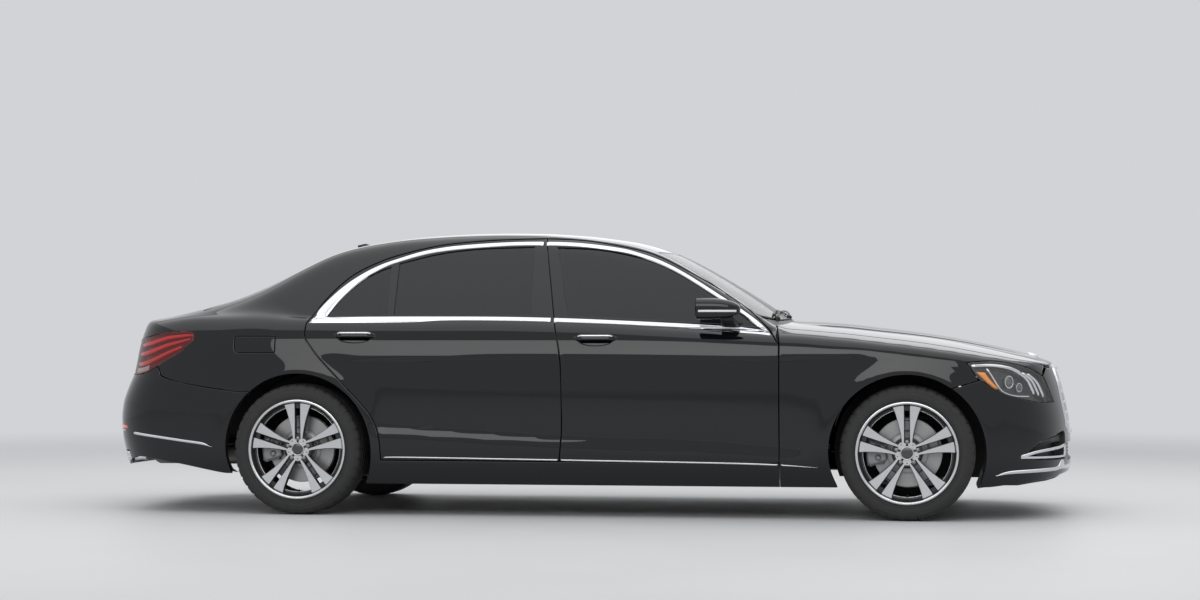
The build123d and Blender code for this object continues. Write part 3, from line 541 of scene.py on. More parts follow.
def insetLoop(loop, distance):
    # each place moves to its left by the distance, so a counter-clockwise loop shrinks
    before, after = np.roll(loop, 1, axis=0), np.roll(loop, -1, axis=0)
    first, second = loop - before, after - loop
    first /= np.maximum(np.linalg.norm(first, axis=1), 1e-9)[:, None]
    second /= np.maximum(np.linalg.norm(second, axis=1), 1e-9)[:, None]
    left = np.column_stack([-(first + second)[:, 1], (first + second)[:, 0]])
    left /= np.maximum(np.linalg.norm(left, axis=1), 1e-9)[:, None]
    lean = np.clip(np.sum(left * np.column_stack([-first[:, 1], first[:, 0]]), axis=1), 0.5, 1)
    return loop + left * (distance / lean)[:, None]


def inward(loop, distance):
    # towards the loop's inside, whichever way round it runs
    return insetLoop(loop, distance if signedArea(loop) > 0 else -distance)


def fillLoops(loops, cell):
    # triangles over the flat area between an outer loop and its holes, on a regular grid of places
    outer = loops[0]
    low, high = outer.min(axis=0), outer.max(axis=0)
    gridX, gridY = np.meshgrid(np.arange(low[0] + cell / 2, high[0], cell),
                               np.arange(low[1] + cell / 2, high[1], cell))
    grid = np.column_stack([gridX.ravel(), gridY.ravel()])
    keep = insideLoop(grid, outer)
    for hole in loops[1:]:
        keep &= ~insideLoop(grid, hole)
    grid = grid[keep]
    rims = np.vstack(loops)
    nearest = np.full(len(grid), 9.0)
    for start in range(0, len(rims), 64):
        part = rims[start:start + 64]
        nearest = np.minimum(nearest, np.min(np.hypot(grid[:, None, 0] - part[:, 0],
                                                      grid[:, None, 1] - part[:, 1]),
                                             axis=1))
    grid = grid[nearest > cell * 0.5]
    places = np.vstack([rims, grid])
    edges, start = [], 0
    for loop in loops:
        count = len(loop)
        edges += [(start + i, start + (i + 1) % count) for i in range(count)]
        start += count
    result = geometry.delaunay_2d_cdt([Vector(p) for p in places], edges, [], 0, 1e-7)
    flat = np.array([tuple(v) for v in result[0]])
    source = [group[0] if group else -1 for group in result[3]]
    faces = np.array([f for f in result[2] if len(f) == 3])
    middle = flat[faces].mean(axis=1)
    keep = insideLoop(middle, outer)
    for hole in loops[1:]:
        keep &= ~insideLoop(middle, hole)
    faces = faces[keep]
    faces = np.array(source)[faces]
    whole = (faces.min(axis=1) >= 0) & (faces[:, 0] != faces[:, 1]) & (faces[:, 1] != faces[:, 2])
    return places, faces[whole & (faces[:, 0] != faces[:, 2])]


stepScale = {"lid": 120}


def traced(runs, place):
    # runs of (view, points), each a smooth curve on the surface, to a loop in a chart
    return np.vstack([place(views[view](smoothRun(points, spacing * stepScale.get(view, 1))))[:-1]
                      for view, points in runs])


def bothHalves(half):
    # a loop from half an outline that starts and ends on the middle line, where its last column is y or angle
    return np.vstack([half, half[::-1] * [1, -1]])


def meshObject(name, points, faces, materialName, body, slotName, normals=None, replaced=()):
    mesh = bpy.data.meshes.new(name)
    mesh.from_pydata([tuple(p) for p in points], [], [tuple(int(i) for i in f) for f in faces])
    mesh.polygons.foreach_set("use_smooth", [True] * len(mesh.polygons))
    mesh.materials.append(materials[materialName])
    mesh.validate()
    if normals is not None:
        mesh.normals_split_custom_set_from_vertices([tuple(n) for n in normals])
    made = placed(name, mesh)
    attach(made, body)
    if replaced:
        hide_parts(*replaced)
    return made


acrossCar = np.array([1.0, -1.0, 1.0])


def reversedFaces(faces):
    return [tuple(reversed(tuple(f))) for f in faces]


def onSide(points, faces, side):
    # a left piece as it is, or mirrored to the right
    return (points * acrossCar, reversedFaces(faces)) if side == "right" else (points, faces)


def panelParts(outline, chart, cell=0.014, depth=0.014, holes=(), sink=0.0, edge=0.003, backed=False):
    # a shell over an outline, on the surface or sunk: face, rounded edge, wall and, if asked for, back
    loops = []
    for i, loop in enumerate((outline, *holes)):
        wanted = 1 if i == 0 else -1
        loops.append(loop if signedArea(loop) * wanted > 0 else loop[::-1])
    inner = [insetLoop(loop, edge) for loop in loops]
    places, faces = fillLoops(inner, cell)
    corners = places[faces]
    probe = faces[np.argmax(np.abs(np.cross(corners[:, 1] - corners[:, 0],
                                            corners[:, 2] - corners[:, 0])))]
    flipped = signedArea(places[probe]) < 0
    top = chart(places)
    topNormals = bodyNormals(top)
    top -= topNormals * sink
    count = sum(len(loop) for loop in loops)
    rim = chart(np.vstack(loops))
    edgeNormals = bodyNormals(rim)
    rim -= edgeNormals * sink
    outward = rim - top[:count]
    outward -= np.sum(outward * edgeNormals, axis=1)[:, None] * edgeNormals
    outward /= np.maximum(np.linalg.norm(outward, axis=1), 1e-9)[:, None]
    tilted = edgeNormals + outward
    tilted /= np.linalg.norm(tilted, axis=1)[:, None]
    rings = [(rim - edgeNormals * edge * 0.27, tilted), (rim - edgeNormals * edge, outward),
             (rim - edgeNormals * depth, outward)]
    back = top - topNormals * depth
    points = np.vstack([top, *[ring for ring, _ in rings], back])
    normals = np.vstack([topNormals, *[n for _, n in rings], -topNormals])
    # which way round the grid's triangles face the outside
    a, b, c = top[probe]
    outwards = np.dot(np.cross(b - a, c - a), topNormals[probe[0]]) > 0
    polygons = [tuple(f) if outwards else tuple(f[::-1]) for f in faces]
    offset = len(points) - len(back)
    if backed:
        polygons += [tuple(int(i) + offset for i in reversed(f)) for f in polygons]
    bases = [0, len(top), len(top) + count, len(top) + 2 * count, offset]
    start = 0
    for loop in loops:
        size = len(loop)
        for level in range(4):
            low, high = bases[level] + start, bases[level + 1] + start
            for i in range(size):
                j = (i + 1) % size
                quad = (low + i, high + i, high + j, low + j)
                polygons.append(quad if outwards != flipped else quad[::-1])
        start += size
    return points, polygons, normals


def panel(name, outline, chart, body, materialName="paint", slotName="paint", side="left", replaced=(),
          **more):
    points, faces, normals = panelParts(outline, chart, **more)
    if side == "right":
        normals = normals * acrossCar
    return meshObject(name, *onSide(points, faces, side), materialName, body, slotName, normals, replaced)


sides = ("left", "right")

# doors, seen from the side
doorBottom = 0.290
pillarCut = [(-0.150, 1.444), (-0.110, 1.230), (-0.070, 1.005), (-0.038, 0.860), (-0.026, 0.700),
             (-0.024, 0.500),
             (-0.030, 0.380), (-0.038, doorBottom)]
frontDoorTop = [(1.045, 0.950), (0.985, 1.012), (0.880, 1.100), (0.770, 1.172), (0.660, 1.235),
                (0.555, 1.292),
                (0.450, 1.343), (0.340, 1.380), (0.130, 1.422), (-0.010, 1.438), (-0.150, 1.444)]
rearCut = [(-1.390, 1.000), (-1.390, 0.933), (-1.360, 0.885), (-1.306, 0.818), (-1.200, 0.709),
           (-1.090, 0.595),
           (-1.040, 0.535), (-1.005, 0.470), (-0.985, 0.393), (-0.980, doorBottom)]
rearDoorTop = [(-0.156, 1.444), (-0.300, 1.441), (-0.510, 1.432), (-0.730, 1.408), (-0.940, 1.358),
               (-1.050, 1.318), (-1.160, 1.262), (-1.240, 1.197), (-1.318, 1.110), (-1.366, 1.042),
               (-1.390, 1.000)]
frontDoorLoop = joined([[(1.088, doorBottom), (1.088, 0.885)], [(1.088, 0.885), (1.045, 0.950)],
                        frontDoorTop,
                        pillarCut, [(-0.038, doorBottom), (1.088, doorBottom)]], spacing)
rearPillarCut = [(x - 0.006, z) for x, z in reversed(pillarCut)]
rearDoorLoop = joined([rearPillarCut, rearDoorTop, rearCut, [(-0.980, doorBottom), (-0.044, doorBottom)]],
                      spacing)
frontWindow = joined([[(-0.005, 1.034), (-0.092, 1.400)],
                      [(-0.092, 1.400), (0.130, 1.388), (0.335, 1.348), (0.446, 1.312), (0.550, 1.262),
                       (0.656, 1.204),
                       (0.764, 1.142), (0.872, 1.070), (0.975, 0.985)],
                      [(0.975, 0.985), (0.640, 1.004), (0.425, 1.016), (0.165, 1.028), (-0.005, 1.034)]],
                     spacing)
rearWindow = joined([[(-0.202, 1.040), (-0.212, 1.404)],
                     [(-0.212, 1.404), (-0.510, 1.394), (-0.722, 1.368), (-0.930, 1.318)],
                     [(-0.930, 1.318), (-0.930, 1.044)], [(-0.930, 1.044), (-0.202, 1.040)]], spacing)
quarterWindow = joined([[(-0.972, 1.042), (-0.972, 1.300)],
                        [(-0.972, 1.300), (-1.032, 1.278), (-1.134, 1.224), (-1.208, 1.162),
                         (-1.280, 1.090),
                         (-1.325, 1.036)],
                        [(-1.325, 1.036), (-0.972, 1.042)]], spacing)


def handleCup(middleX, height):
    return np.array([(middleX + 0.088 * math.cos(t), height - 0.012 + 0.027 * math.sin(t))
                     for t in fullTurn(48)])


handles = {"front": {"start": 0.035, "end": 0.262, "height": 0.921, "body": "front_door"},
           "rear": {"start": -1.237, "end": -1.011, "height": 0.936, "body": "rear_door"}}
cups = {place: handleCup((handle["start"] + handle["end"]) / 2, handle["height"]) for place,
        handle in handles.items()}
for side in sides:
    panel(f"frontDoorSkin_{side}", frontDoorLoop, sideChart, f"front_door_{side}", side=side,
          holes=[frontWindow, cups["front"]], replaced=[f"front_door_{side}"])
    panel(f"rearDoorSkin_{side}", rearDoorLoop, sideChart, f"rear_door_{side}", side=side,
          holes=[rearWindow, quarterWindow, cups["rear"]], replaced=[f"rear_door_{side}"])
print("doors made")

# hood
hoodEdge = [(1.128, 0.0), (1.120, 0.3), (1.098, 0.55), (1.062, 0.735), (1.30, 0.735), (2.04, 0.722),
            (2.20, 0.700),
            (2.32, 0.655), (2.39, 0.60), (2.435, 0.50), (2.46, 0.36), (2.474, 0.18), (2.478, 0.0)]
hoodHalf = np.vstack([joined([hoodEdge[:4], hoodEdge[3:]], spacing), [hoodEdge[-1]]])
panel("hoodSkin", bothHalves(hoodHalf)[:-1], topChart, "hood", replaced=["hood"], depth=0.02)
print("hood made")


def archRun(axle, startAngle, endAngle):
    return arcPoints((axleX[axle], wheelZ), archRadius, startAngle, endAngle, 14)


# wings
fenderLoop = traced([
    ("side", [(1.094, 0.163), (1.094, 0.60), (1.094, 0.905)]),
    ("top", [(1.080, 0.84), (1.068, 0.741)]),
    ("top", [(1.068, 0.741), (1.30, 0.741), (2.04, 0.728), (2.20, 0.706), (2.32, 0.661), (2.39, 0.606),
             (2.425, 0.545)]),
    ("side", [(2.412, 0.734), (2.35, 0.768), (2.25, 0.798), (2.15, 0.809), (2.025, 0.800)]),
    ("side", [(2.025, 0.800), (2.088, 0.716)]),
    ("side", [(2.088, 0.709), (1.957, 0.670)]),
    ("side", archRun("front", 55.9, 206.9)),
    ("side", [(1.3818, 0.163), (1.094, 0.163)]),
], sectionPlace)
for side in sides:
    panel(f"fenderSkin_{side}", fenderLoop, sectionChart, "root", side=side, replaced=["front_fenders"])

# sill, pillars, roof rail and rear quarter of each side, round the door opening
apertureLoop = joined([[(1.088, doorBottom), (1.088, 0.885)], [(1.088, 0.885), (1.045, 0.950)],
                       frontDoorTop + rearDoorTop[1:], rearCut,
                       [(-0.980, doorBottom), (1.088, doorBottom)]], spacing)
apertureGrown = inward(apertureLoop, -0.006)
apertureGrown = apertureGrown[apertureGrown[:, 0] < 1.0885]
bumperTopRear = [(-1.751, 0.6435), (-1.853, 0.656), (-1.969, 0.672), (-2.086, 0.692), (-2.190, 0.722),
                 (-2.209, 0.750), (-2.2225, 0.775)]
lampFoot = [(-2.2225, 0.778), (-2.150, 0.815), (-2.088, 0.849), (-2.045, 0.885), (-2.006, 0.918)]
lampBrow = [(-2.006, 0.918), (-2.012, 0.942), (-2.035, 0.955), (-2.061, 0.958), (-2.12, 0.957),
            (-2.184, 0.953),
            (-2.289, 0.934)]
windshieldSide = [(0.43, 0.585), (0.47, 0.600), (0.58, 0.640), (0.69, 0.682), (0.80, 0.722),
                  (0.90, 0.752),
                  (0.962, 0.772)]
rearWindowSide = [(-2.030, 0.650), (-1.90, 0.634), (-1.60, 0.588), (-1.334, 0.546)]
sideOuter = traced([
    ("side", [(1.089, 0.284), (1.089, 0.163)]),
    ("side", [(1.089, 0.163), (-1.0768, 0.163)]),
    ("side", archRun("rear", -26.9, 129.4)),
    ("side", [(-1.681, 0.6475), *bumperTopRear]),
    ("side", lampFoot),
    ("side", lampBrow),
    ("back", [(0.747, 0.934), (0.66, 0.922), (0.611, 0.918)]),
    ("lid", [(38.0, 0.611), (70.0, 0.611), (98.4, 0.611)]),
    ("top", [(-2.044, 0.611), (-2.030, 0.650)]),
    ("top", rearWindowSide),
    ("top", [(-1.334, 0.546), (-0.6, 0.550), (0.0, 0.553), (0.40, 0.556)]),
    ("top", [(0.40, 0.556), *windshieldSide]),
    ("top", [(0.962, 0.772), (1.062, 0.747)]),
    ("top", [(1.062, 0.747), (1.074, 0.84)]),
], sectionPlace)
sideLoop = np.vstack([sideOuter, sectionPlace(views["side"](apertureGrown))])
flapEdge = [(-1.776, 0.930), (-1.776, 0.868), (-1.770, 0.854), (-1.758, 0.848), (-1.562, 0.848),
            (-1.557, 0.850),
            (-1.556, 0.854), (-1.556, 0.930)]
flapLoop = joined([flapEdge[:2], flapEdge[1:4], flapEdge[3:5], flapEdge[4:7], flapEdge[6:],
                   [flapEdge[-1], flapEdge[0]]],
                  0.006)
flapHole = sectionPlace(views["side"](inward(flapLoop, -0.004)))
for side in sides:
    panel(f"sideSkin_{side}", sideLoop, sectionChart, "root", side=side,
          holes=[flapHole] if side == "right" else [],
          replaced=["body_sides"])
panel("flapSkin", flapLoop, sideChart, "fuel_flap", side="right", replaced=["fuel_flap"], depth=0.010,
      cell=0.01)
print("sides made")

# roof and the two screens
roofHalf = [(0.469, 0.0), (0.455, 0.3), (0.424, 0.575), (0.396, 0.550), (0.0, 0.547), (-0.6, 0.544),
            (-1.322, 0.540),
            (-1.325, 0.3), (-1.327, 0.0)]
panel("roofSkin", bothHalves(np.vstack([joined([roofHalf[:3], roofHalf[2:4], roofHalf[3:7], roofHalf[6:]],
                                               spacing),
                                        [roofHalf[-1]]]))[:-1], topChart, "root", replaced=["roof_panel"])
screenHalf = joined([[(1.085, 0.0), (1.06, 0.4), (0.99, 0.70), (0.957, 0.765)],
                     [(0.957, 0.765), *[(x, y - 0.006) for x, y in reversed(windshieldSide[:-1])]],
                     [(0.43, 0.579), (0.461, 0.3), (0.475, 0.0)]], spacing)
screenLoop = bothHalves(np.vstack([screenHalf, [(0.475, 0.0)]]))[:-1]
rearHalf = joined([[(-1.333, 0.0), (-1.333, 0.3), (-1.340, 0.541)],
                   [(-1.340, 0.541), (-1.60, 0.582), (-1.90, 0.628), (-2.012, 0.640)],
                   [(-2.012, 0.640), (-2.022, 0.4), (-2.026, 0.0)]], spacing)
rearLoop = bothHalves(np.vstack([rearHalf, [(-2.026, 0.0)]]))[:-1]


for name, loop, node, bands in (("windshieldPane", screenLoop, "windshield", 0.05),
                                ("rearPane", rearLoop, "rear_window", 0.035)):
    panel(name, loop, topChart, "root", "screenGlass", "glass", replaced=[node], depth=0.005, backed=True,
          cell=0.022)
    panel(name + "Band", inward(loop, 0.002), topChart, "root", "blackTrim", "glass", replaced=[node],
          depth=0.002,
          sink=0.0075, holes=[inward(loop, bands)], cell=0.022)
print("screens made")

# boot lid
lidHalf = traced([
    ("back", [(0.0, 0.742), (0.3, 0.742), (0.59, 0.742)]),
    ("back", [(0.59, 0.742), (0.601, 0.746), (0.605, 0.757)]),
    ("lid", [(12.0, 0.605), (50.0, 0.605), (97.4, 0.605)]),
    ("top", [(-2.050, 0.605), (-2.050, 0.3), (-2.050, 0.0)]),
], lidPlace)
lidHalf = np.vstack([lidHalf, lidPlace(views["top"]([(-2.050, 0.0)]))])
panel("lidSkin", bothHalves(lidHalf)[:-1], lidChart, "trunk_lid", replaced=["trunk_lid"], depth=0.02)
deckHalf = joined([[(-2.042, 0.0), (-2.042, 0.3), (-2.042, 0.598)], [(-2.042, 0.598), (-2.018, 0.598)],
                   [(-2.018, 0.598), (-2.026, 0.4), (-2.031, 0.0)]], spacing)
panel("deckStrip", bothHalves(np.vstack([deckHalf, [(-2.031, 0.0)]]))[:-1], topChart, "root", "blackTrim",
      "paint",
      replaced=["body_sides"], sink=0.002, depth=0.006)

# bumpers
grilleHalf = [(0.0, 0.419), (0.303, 0.419), (0.411, 0.466), (0.431, 0.600), (0.402, 0.738),
              (0.392, 0.776)]
bumperLampFoot = [(2.473, 0.593), (2.399, 0.595), (2.298, 0.617), (2.213, 0.643), (2.155, 0.677),
                  (2.092, 0.713)]
frontHalf = traced([
    ("front", grilleHalf[:2]), ("front", grilleHalf[1:3]), ("front", grilleHalf[2:]),
    ("front", [(0.392, 0.776), (0.43, 0.771), (0.49, 0.768), (0.536, 0.767)]),
    ("front", [(0.536, 0.767), (0.618, 0.7285)]),
    ("front", [(0.618, 0.7285), (0.596, 0.66), (0.569, 0.596)]),
    ("side", bumperLampFoot),
    ("side", [(2.088, 0.703), (1.957, 0.664)]),
    ("side", archRun("front", 54.4, -20.5)),
    ("side", [(2.106, 0.203), (2.122, 0.168), (2.30, 0.189), (2.43, 0.203)]),
    ("front", [(0.62, 0.207), (0.39, 0.224), (0.0, 0.230)]),
], nosePlace)
frontHalf = np.vstack([frontHalf, nosePlace(views["front"]([(0.0, 0.230)]))])
frontLoop = np.vstack([frontHalf, (frontHalf[1:-1] * [-1, 1])[::-1]])
intakeOuter = [(0.440, 0.300), (0.70, 0.302), (0.790, 0.318), (0.775, 0.355), (0.72, 0.400),
               (0.60, 0.430),
               (0.475, 0.446), (0.440, 0.42), (0.440, 0.300)]
middleOuter = [(0.36, 0.290), (0.375, 0.33), (0.365, 0.376), (0.34, 0.385), (-0.34, 0.385),
               (-0.365, 0.376),
               (-0.375, 0.33), (-0.36, 0.290), (0.36, 0.290)]
intakeLoop = traced([("front", intakeOuter[:3]), ("front", intakeOuter[2:7]), ("front", intakeOuter[6:])],
                    nosePlace)
middleLoop = traced([("front", middleOuter[:4]), ("front", middleOuter[3:5]), ("front", middleOuter[4:8]),
                     ("front", middleOuter[7:])], nosePlace)
panel("frontBumperSkin", frontLoop, noseChart, "root",
      holes=[intakeLoop, intakeLoop * [-1, 1], middleLoop],
      replaced=["front_bumper"])
tailpipeHole = [(0.464, 0.262), (0.686, 0.262), (0.686, 0.322), (0.464, 0.322)]
rearHalfBumper = traced([
    ("back", [(0.0, 0.736), (0.3, 0.736), (0.607, 0.736)]),
    ("back", [(0.607, 0.727), (0.70, 0.724)]),
    ("side", [(-2.382, 0.722), (-2.32, 0.733), (-2.27, 0.750), (-2.2285, 0.769)]),
    ("side", [(-2.2285, 0.769), (-2.215, 0.748), (-2.195, 0.716), (-2.086, 0.686), (-1.969, 0.666),
              (-1.853, 0.650),
              (-1.751, 0.6375), (-1.690, 0.6375)]),
    ("side", archRun("rear", 131.0, 199.5)),
    ("side", [(-1.803, 0.210), (-1.872, 0.215), (-2.10, 0.259), (-2.30, 0.290)]),
    ("back", [(0.76, 0.292), (0.55, 0.240), (0.30, 0.232), (0.0, 0.230)]),
], tailPlace)
rearHalfBumper = np.vstack([rearHalfBumper, tailPlace(views["back"]([(0.0, 0.230)]))])
rearBumperLoop = np.vstack([rearHalfBumper, (rearHalfBumper[1:-1] * [-1, 1])[::-1]])
pipeLoop = tailPlace(views["back"](joined([tailpipeHole[:2], tailpipeHole[1:3], tailpipeHole[2:],
                                           [tailpipeHole[3], tailpipeHole[0]]], spacing)))
panel("rearBumperSkin", rearBumperLoop, tailChart, "root", holes=[pipeLoop, pipeLoop * [-1, 1]],
      replaced=["rear_bumper"])
print("bumpers made")


def innerBody(node, body, materialName="jamb", push=0.012):
    # the frame's own solid, its outside moved in behind the skin
    source = frame["nodes"][node]
    corners = np.array([source.matrix_world @ v.co for v in source.data.vertices])
    if node.startswith("rear_door"):
        corners[:, 0] = np.where(corners[:, 2] > 0.93, np.maximum(corners[:, 0], -1.386), corners[:, 0])
    if node == "body_sides":
        push = push + 0.05 * window(-corners[:, 0], 1.395, 1.42, 1.70, 1.85) * (corners[:, 2] > 0.93)
    if node == "parcel_shelf":
        corners[:, 0] = np.maximum(corners[:, 0], -2.012)
    if node == "rear_bumper":
        beside = np.interp(corners[:, 0], [-2.30, -2.10, -1.872, -1.80], [0.290, 0.259, 0.215, 0.210])
        behind = np.interp(np.abs(corners[:, 1]), [0.30, 0.55, 0.76], [0.232, 0.240, 0.292])
        foot = np.where(np.abs(corners[:, 1]) < 0.76, behind, beside) + 0.006
        corners[:, 2] = np.maximum(corners[:, 2], foot)
    for _ in range(3):
        over = np.maximum(bodyField(corners) + push, 0)
        corners = corners - bodyNormals(corners) * over[:, None]
    faces = [tuple(f.vertices) for f in source.data.polygons]
    mesh = bpy.data.meshes.new(node + "Inner")
    mesh.from_pydata([tuple(p) for p in corners], [], faces)
    mesh.materials.append(materials[materialName])
    made = placed(node + "Inner", mesh)
    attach(made, body)
    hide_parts(node)
    return made


innerBody("body_sides", "root")
innerBody("hood", "hood", push=0.018)
innerBody("trunk_lid", "trunk_lid", push=0.018)
innerBody("front_bumper", "root", "blackTrim", 0.02)
innerBody("rear_bumper", "root", "blackTrim", 0.02)
innerBody("parcel_shelf", "root", "carpet", 0.012)
for side in sides:
    innerBody(f"front_door_{side}", f"front_door_{side}")
    innerBody(f"rear_door_{side}", f"rear_door_{side}")
print("inner bodies made")


def strip(name, edges, chart, body, materialName="brightTrim", slotName="bright_trim", side="left",
          proud=0.004,
          base=0.0, columns=9, replaced=()):
    # a raised band between two edges in a chart, with rounded sides and ends
    low, high = (np.array(edge, float) for edge in edges)
    share = np.linspace(0, 1, columns)
    crown = np.where((share > 0) & (share < 1), 1 - np.abs(2 * share - 1) ** 5, -0.8)
    flat = np.vstack([low + (high - low) * t for t in share])
    surface = chart(flat)
    normals = bodyNormals(surface)
    count = len(low)
    ends = np.ones(count)
    ends[0] = ends[-1] = -0.8
    height = np.concatenate([np.minimum(crown[i], ends) for i in range(columns)]) * proud + base
    points = surface + normals * height[:, None]
    faces = []
    for i in range(columns - 1):
        for j in range(count - 1):
            faces.append((i * count + j, i * count + j + 1, (i + 1) * count + j + 1, (i + 1) * count + j))
    a, b, c = (points[faces[len(faces) // 2][k]] for k in range(3))
    if np.dot(np.cross(b - a, c - a), normals[faces[len(faces) // 2][0]]) < 0:
        faces = [f[::-1] for f in faces]
    return meshObject(name, *onSide(points, faces, side), materialName, body, slotName, None, replaced)


def evenPair(low, high, step=0.012):
    # two edges as smooth curves with the same number of places
    count = max(len(smoothRun(low, step)), len(smoothRun(high, step)), 3)
    pair = []
    for edge in (low, high):
        fine = smoothRun(edge, 0.001)
        places = np.linspace(0, len(fine) - 1, count)
        pair.append(np.column_stack([np.interp(places, np.arange(len(fine)),
                                               fine[:, k]) for k in (0, 1)]))
    return pair


def clipPair(low, high, start, end):
    # the part of two edges between two values of their first coordinate
    pair = []
    for edge in (low, high):
        fine = smoothRun(edge, 0.001)
        fine = fine[(fine[:, 0] >= start) & (fine[:, 0] <= end)]
        pair.append(fine)
    return evenPair(*pair)


# bright surround of the side windows, and the strips on the sills
surroundOuter = [(-1.379, 1.005), (-1.338, 1.081), (-1.240, 1.182), (-1.139, 1.256), (-1.037, 1.309),
                 (-0.932, 1.346), (-0.828, 1.378), (-0.722, 1.399), (-0.616, 1.412), (-0.403, 1.426),
                 (-0.190, 1.430), (0.024, 1.422), (0.238, 1.394), (0.346, 1.366), (0.454, 1.328),
                 (0.563, 1.275),
                 (0.670, 1.212), (0.777, 1.144), (0.882, 1.077), (0.987, 1.002), (1.050, 0.940)]
surroundInner = [(-1.310, 1.022), (-1.296, 1.036), (-1.232, 1.123), (-1.134, 1.218), (-1.033, 1.282),
                 (-0.930, 1.325), (-0.719, 1.377), (-0.399, 1.404), (-0.186, 1.408), (0.027, 1.400),
                 (0.241, 1.372),
                 (0.349, 1.345), (0.457, 1.306), (0.565, 1.253), (0.672, 1.189), (0.779, 1.121),
                 (0.884, 1.050),
                 (0.975, 0.980)]
beltTop = [(-1.345, 1.036), (-0.895, 1.037), (-0.681, 1.036), (-0.362, 1.034), (-0.046, 1.027),
           (0.268, 1.014),
           (0.682, 0.993), (0.988, 0.968), (1.045, 0.945)]
beltFoot = [(-1.386, 1.000), (-0.889, 1.003), (-0.678, 1.012), (-0.359, 1.011), (-0.044, 1.003),
            (0.270, 0.991),
            (0.683, 0.968), (0.992, 0.942), (1.050, 0.936)]
sillTop = [(-0.965, 0.299), (-0.88, 0.3085), (-0.037, 0.3005), (0.687, 0.2925), (1.044, 0.285),
           (1.290, 0.268)]
sillFoot = [(-0.965, 0.298), (-0.88, 0.3005), (-0.037, 0.2915), (0.687, 0.2835), (1.044, 0.276),
            (1.290, 0.267)]
for side in sides:
    for part, low, high in (("surround", surroundInner, surroundOuter), ("belt", beltFoot, beltTop)):
        strip(f"{part}Front_{side}", clipPair(low, high, -0.080 if part == "belt" else -0.155, 1.06),
              sideChart,
              f"front_door_{side}", side=side)
        strip(f"{part}Rear_{side}", clipPair(low, high, -1.40, -0.088 if part == "belt" else -0.163),
              sideChart,
              f"rear_door_{side}", side=side)
    for piece, body, start, end in (("sillRear", f"rear_door_{side}", -0.97, -0.044),
                                    ("sillFront", f"front_door_{side}", -0.038, 1.088),
                                    ("sillWing", "root", 1.094, 1.29)):
        strip(f"{piece}_{side}", clipPair(sillFoot, sillTop, start, end), sideChart, body, side=side,
              proud=0.006)

# side glass, a little way in from the doors' faces
for side in sides:
    panel(f"frontGlass_{side}", inward(frontWindow, -0.004), sideChart, f"front_door_{side}", "glass",
          "glass",
          side=side, replaced=[f"front_door_glass_{side}"], depth=0.004, sink=0.007, cell=0.03,
          backed=True)
    for name, loop in (("rearGlass", rearWindow), ("quarterGlass", quarterWindow)):
        panel(f"{name}_{side}", inward(loop, -0.004), sideChart, f"rear_door_{side}", "glass", "glass",
              side=side,
              replaced=[f"rear_door_glass_{side}"], depth=0.004, sink=0.007, cell=0.03, backed=True)
print("side glass made")


def gridFaces(rows, columns, closedRows=False, closedColumns=False):
    # quads over a grid of points stored row by row
    faces = []
    for i in range(rows if closedRows else rows - 1):
        for j in range(columns if closedColumns else columns - 1):
            k, m = (i + 1) % rows, (j + 1) % columns
            faces.append((i * columns + j, i * columns + m, k * columns + m, k * columns + j))
    return faces


sharpAngle = 38          # degrees between faces from which a loft's edge is sharp


def prism(rings):
    # a closed solid through rings of the same size, its ends filled and its faces turned outwards
    size = len(rings[0])
    points = np.vstack([np.array(ring, float) for ring in rings])
    faces = gridFaces(len(rings), size, False, True)
    faces += [tuple(range(size))[::-1], tuple(range(size * (len(rings) - 1), size * len(rings)))]
    middle = points.mean(axis=0)
    total = sum(np.dot(np.cross(points[f[1]] - points[f[0]], points[f[2]] - points[f[0]]),
                       points[f[0]] - middle)
                for f in faces)
    return points, reversedFaces(faces) if total < 0 else faces


def loft(name, rings, materialName, body, slotName, side="left", replaced=()):
    # a skin through closed rings of points, soft except where its faces turn sharply
    made = meshObject(name, *onSide(*prism(rings), side), materialName, body, slotName, None, replaced)
    made.data.set_sharp_from_angle(angle=math.radians(sharpAngle))
    return made


def roundedRing(centre, across, up, power=3.0, count=28):
    # a superellipse round a centre, with two half-axis vectors
    angles = fullTurn(count)
    c, s = np.cos(angles), np.sin(angles)
    a = np.sign(c) * np.abs(c) ** (2 / power)
    b = np.sign(s) * np.abs(s) ** (2 / power)
    return np.array(centre, float) + a[:, None] * np.array(across, float) + b[:, None] * np.array(up, float)


def box(name, low, high, materialName, body, slotName, side="left", replaced=(), edge=0.004):
    # a block with its edges rounded
    low, high = np.array(low, float), np.array(high, float)
    middle, half = (low + high) / 2, (high - low) / 2
    edge = min(edge, *(half * 0.98))
    rings = []
    for place, shrink in ((-1, 1.0), (-1, 0.3), (-1, 0.0), (1, 0.0), (1, 0.3), (1, 1.0)):
        inset = edge * shrink
        x = middle[0] + place * (half[0] - edge * (1 - shrink if shrink in (0.0, 1.0) else 0.3))
        ring = []
        for cy, cz in ((1, 1), (-1, 1), (-1, -1), (1, -1)):
            corner = np.array([x, middle[1] + cy * (half[1] - inset - edge),
                               middle[2] + cz * (half[2] - inset - edge)])
            start = {(1, 1): 0, (-1, 1): 90, (-1, -1): 180, (1, -1): 270}[(cy, cz)]
            for step in range(4):
                turn = math.radians(start + step * 30)
                ring.append(corner + np.array([0, math.cos(turn) * edge, math.sin(turn) * edge]))
        rings.append(ring)
    return loft(name, rings, materialName, body, slotName, side, replaced)


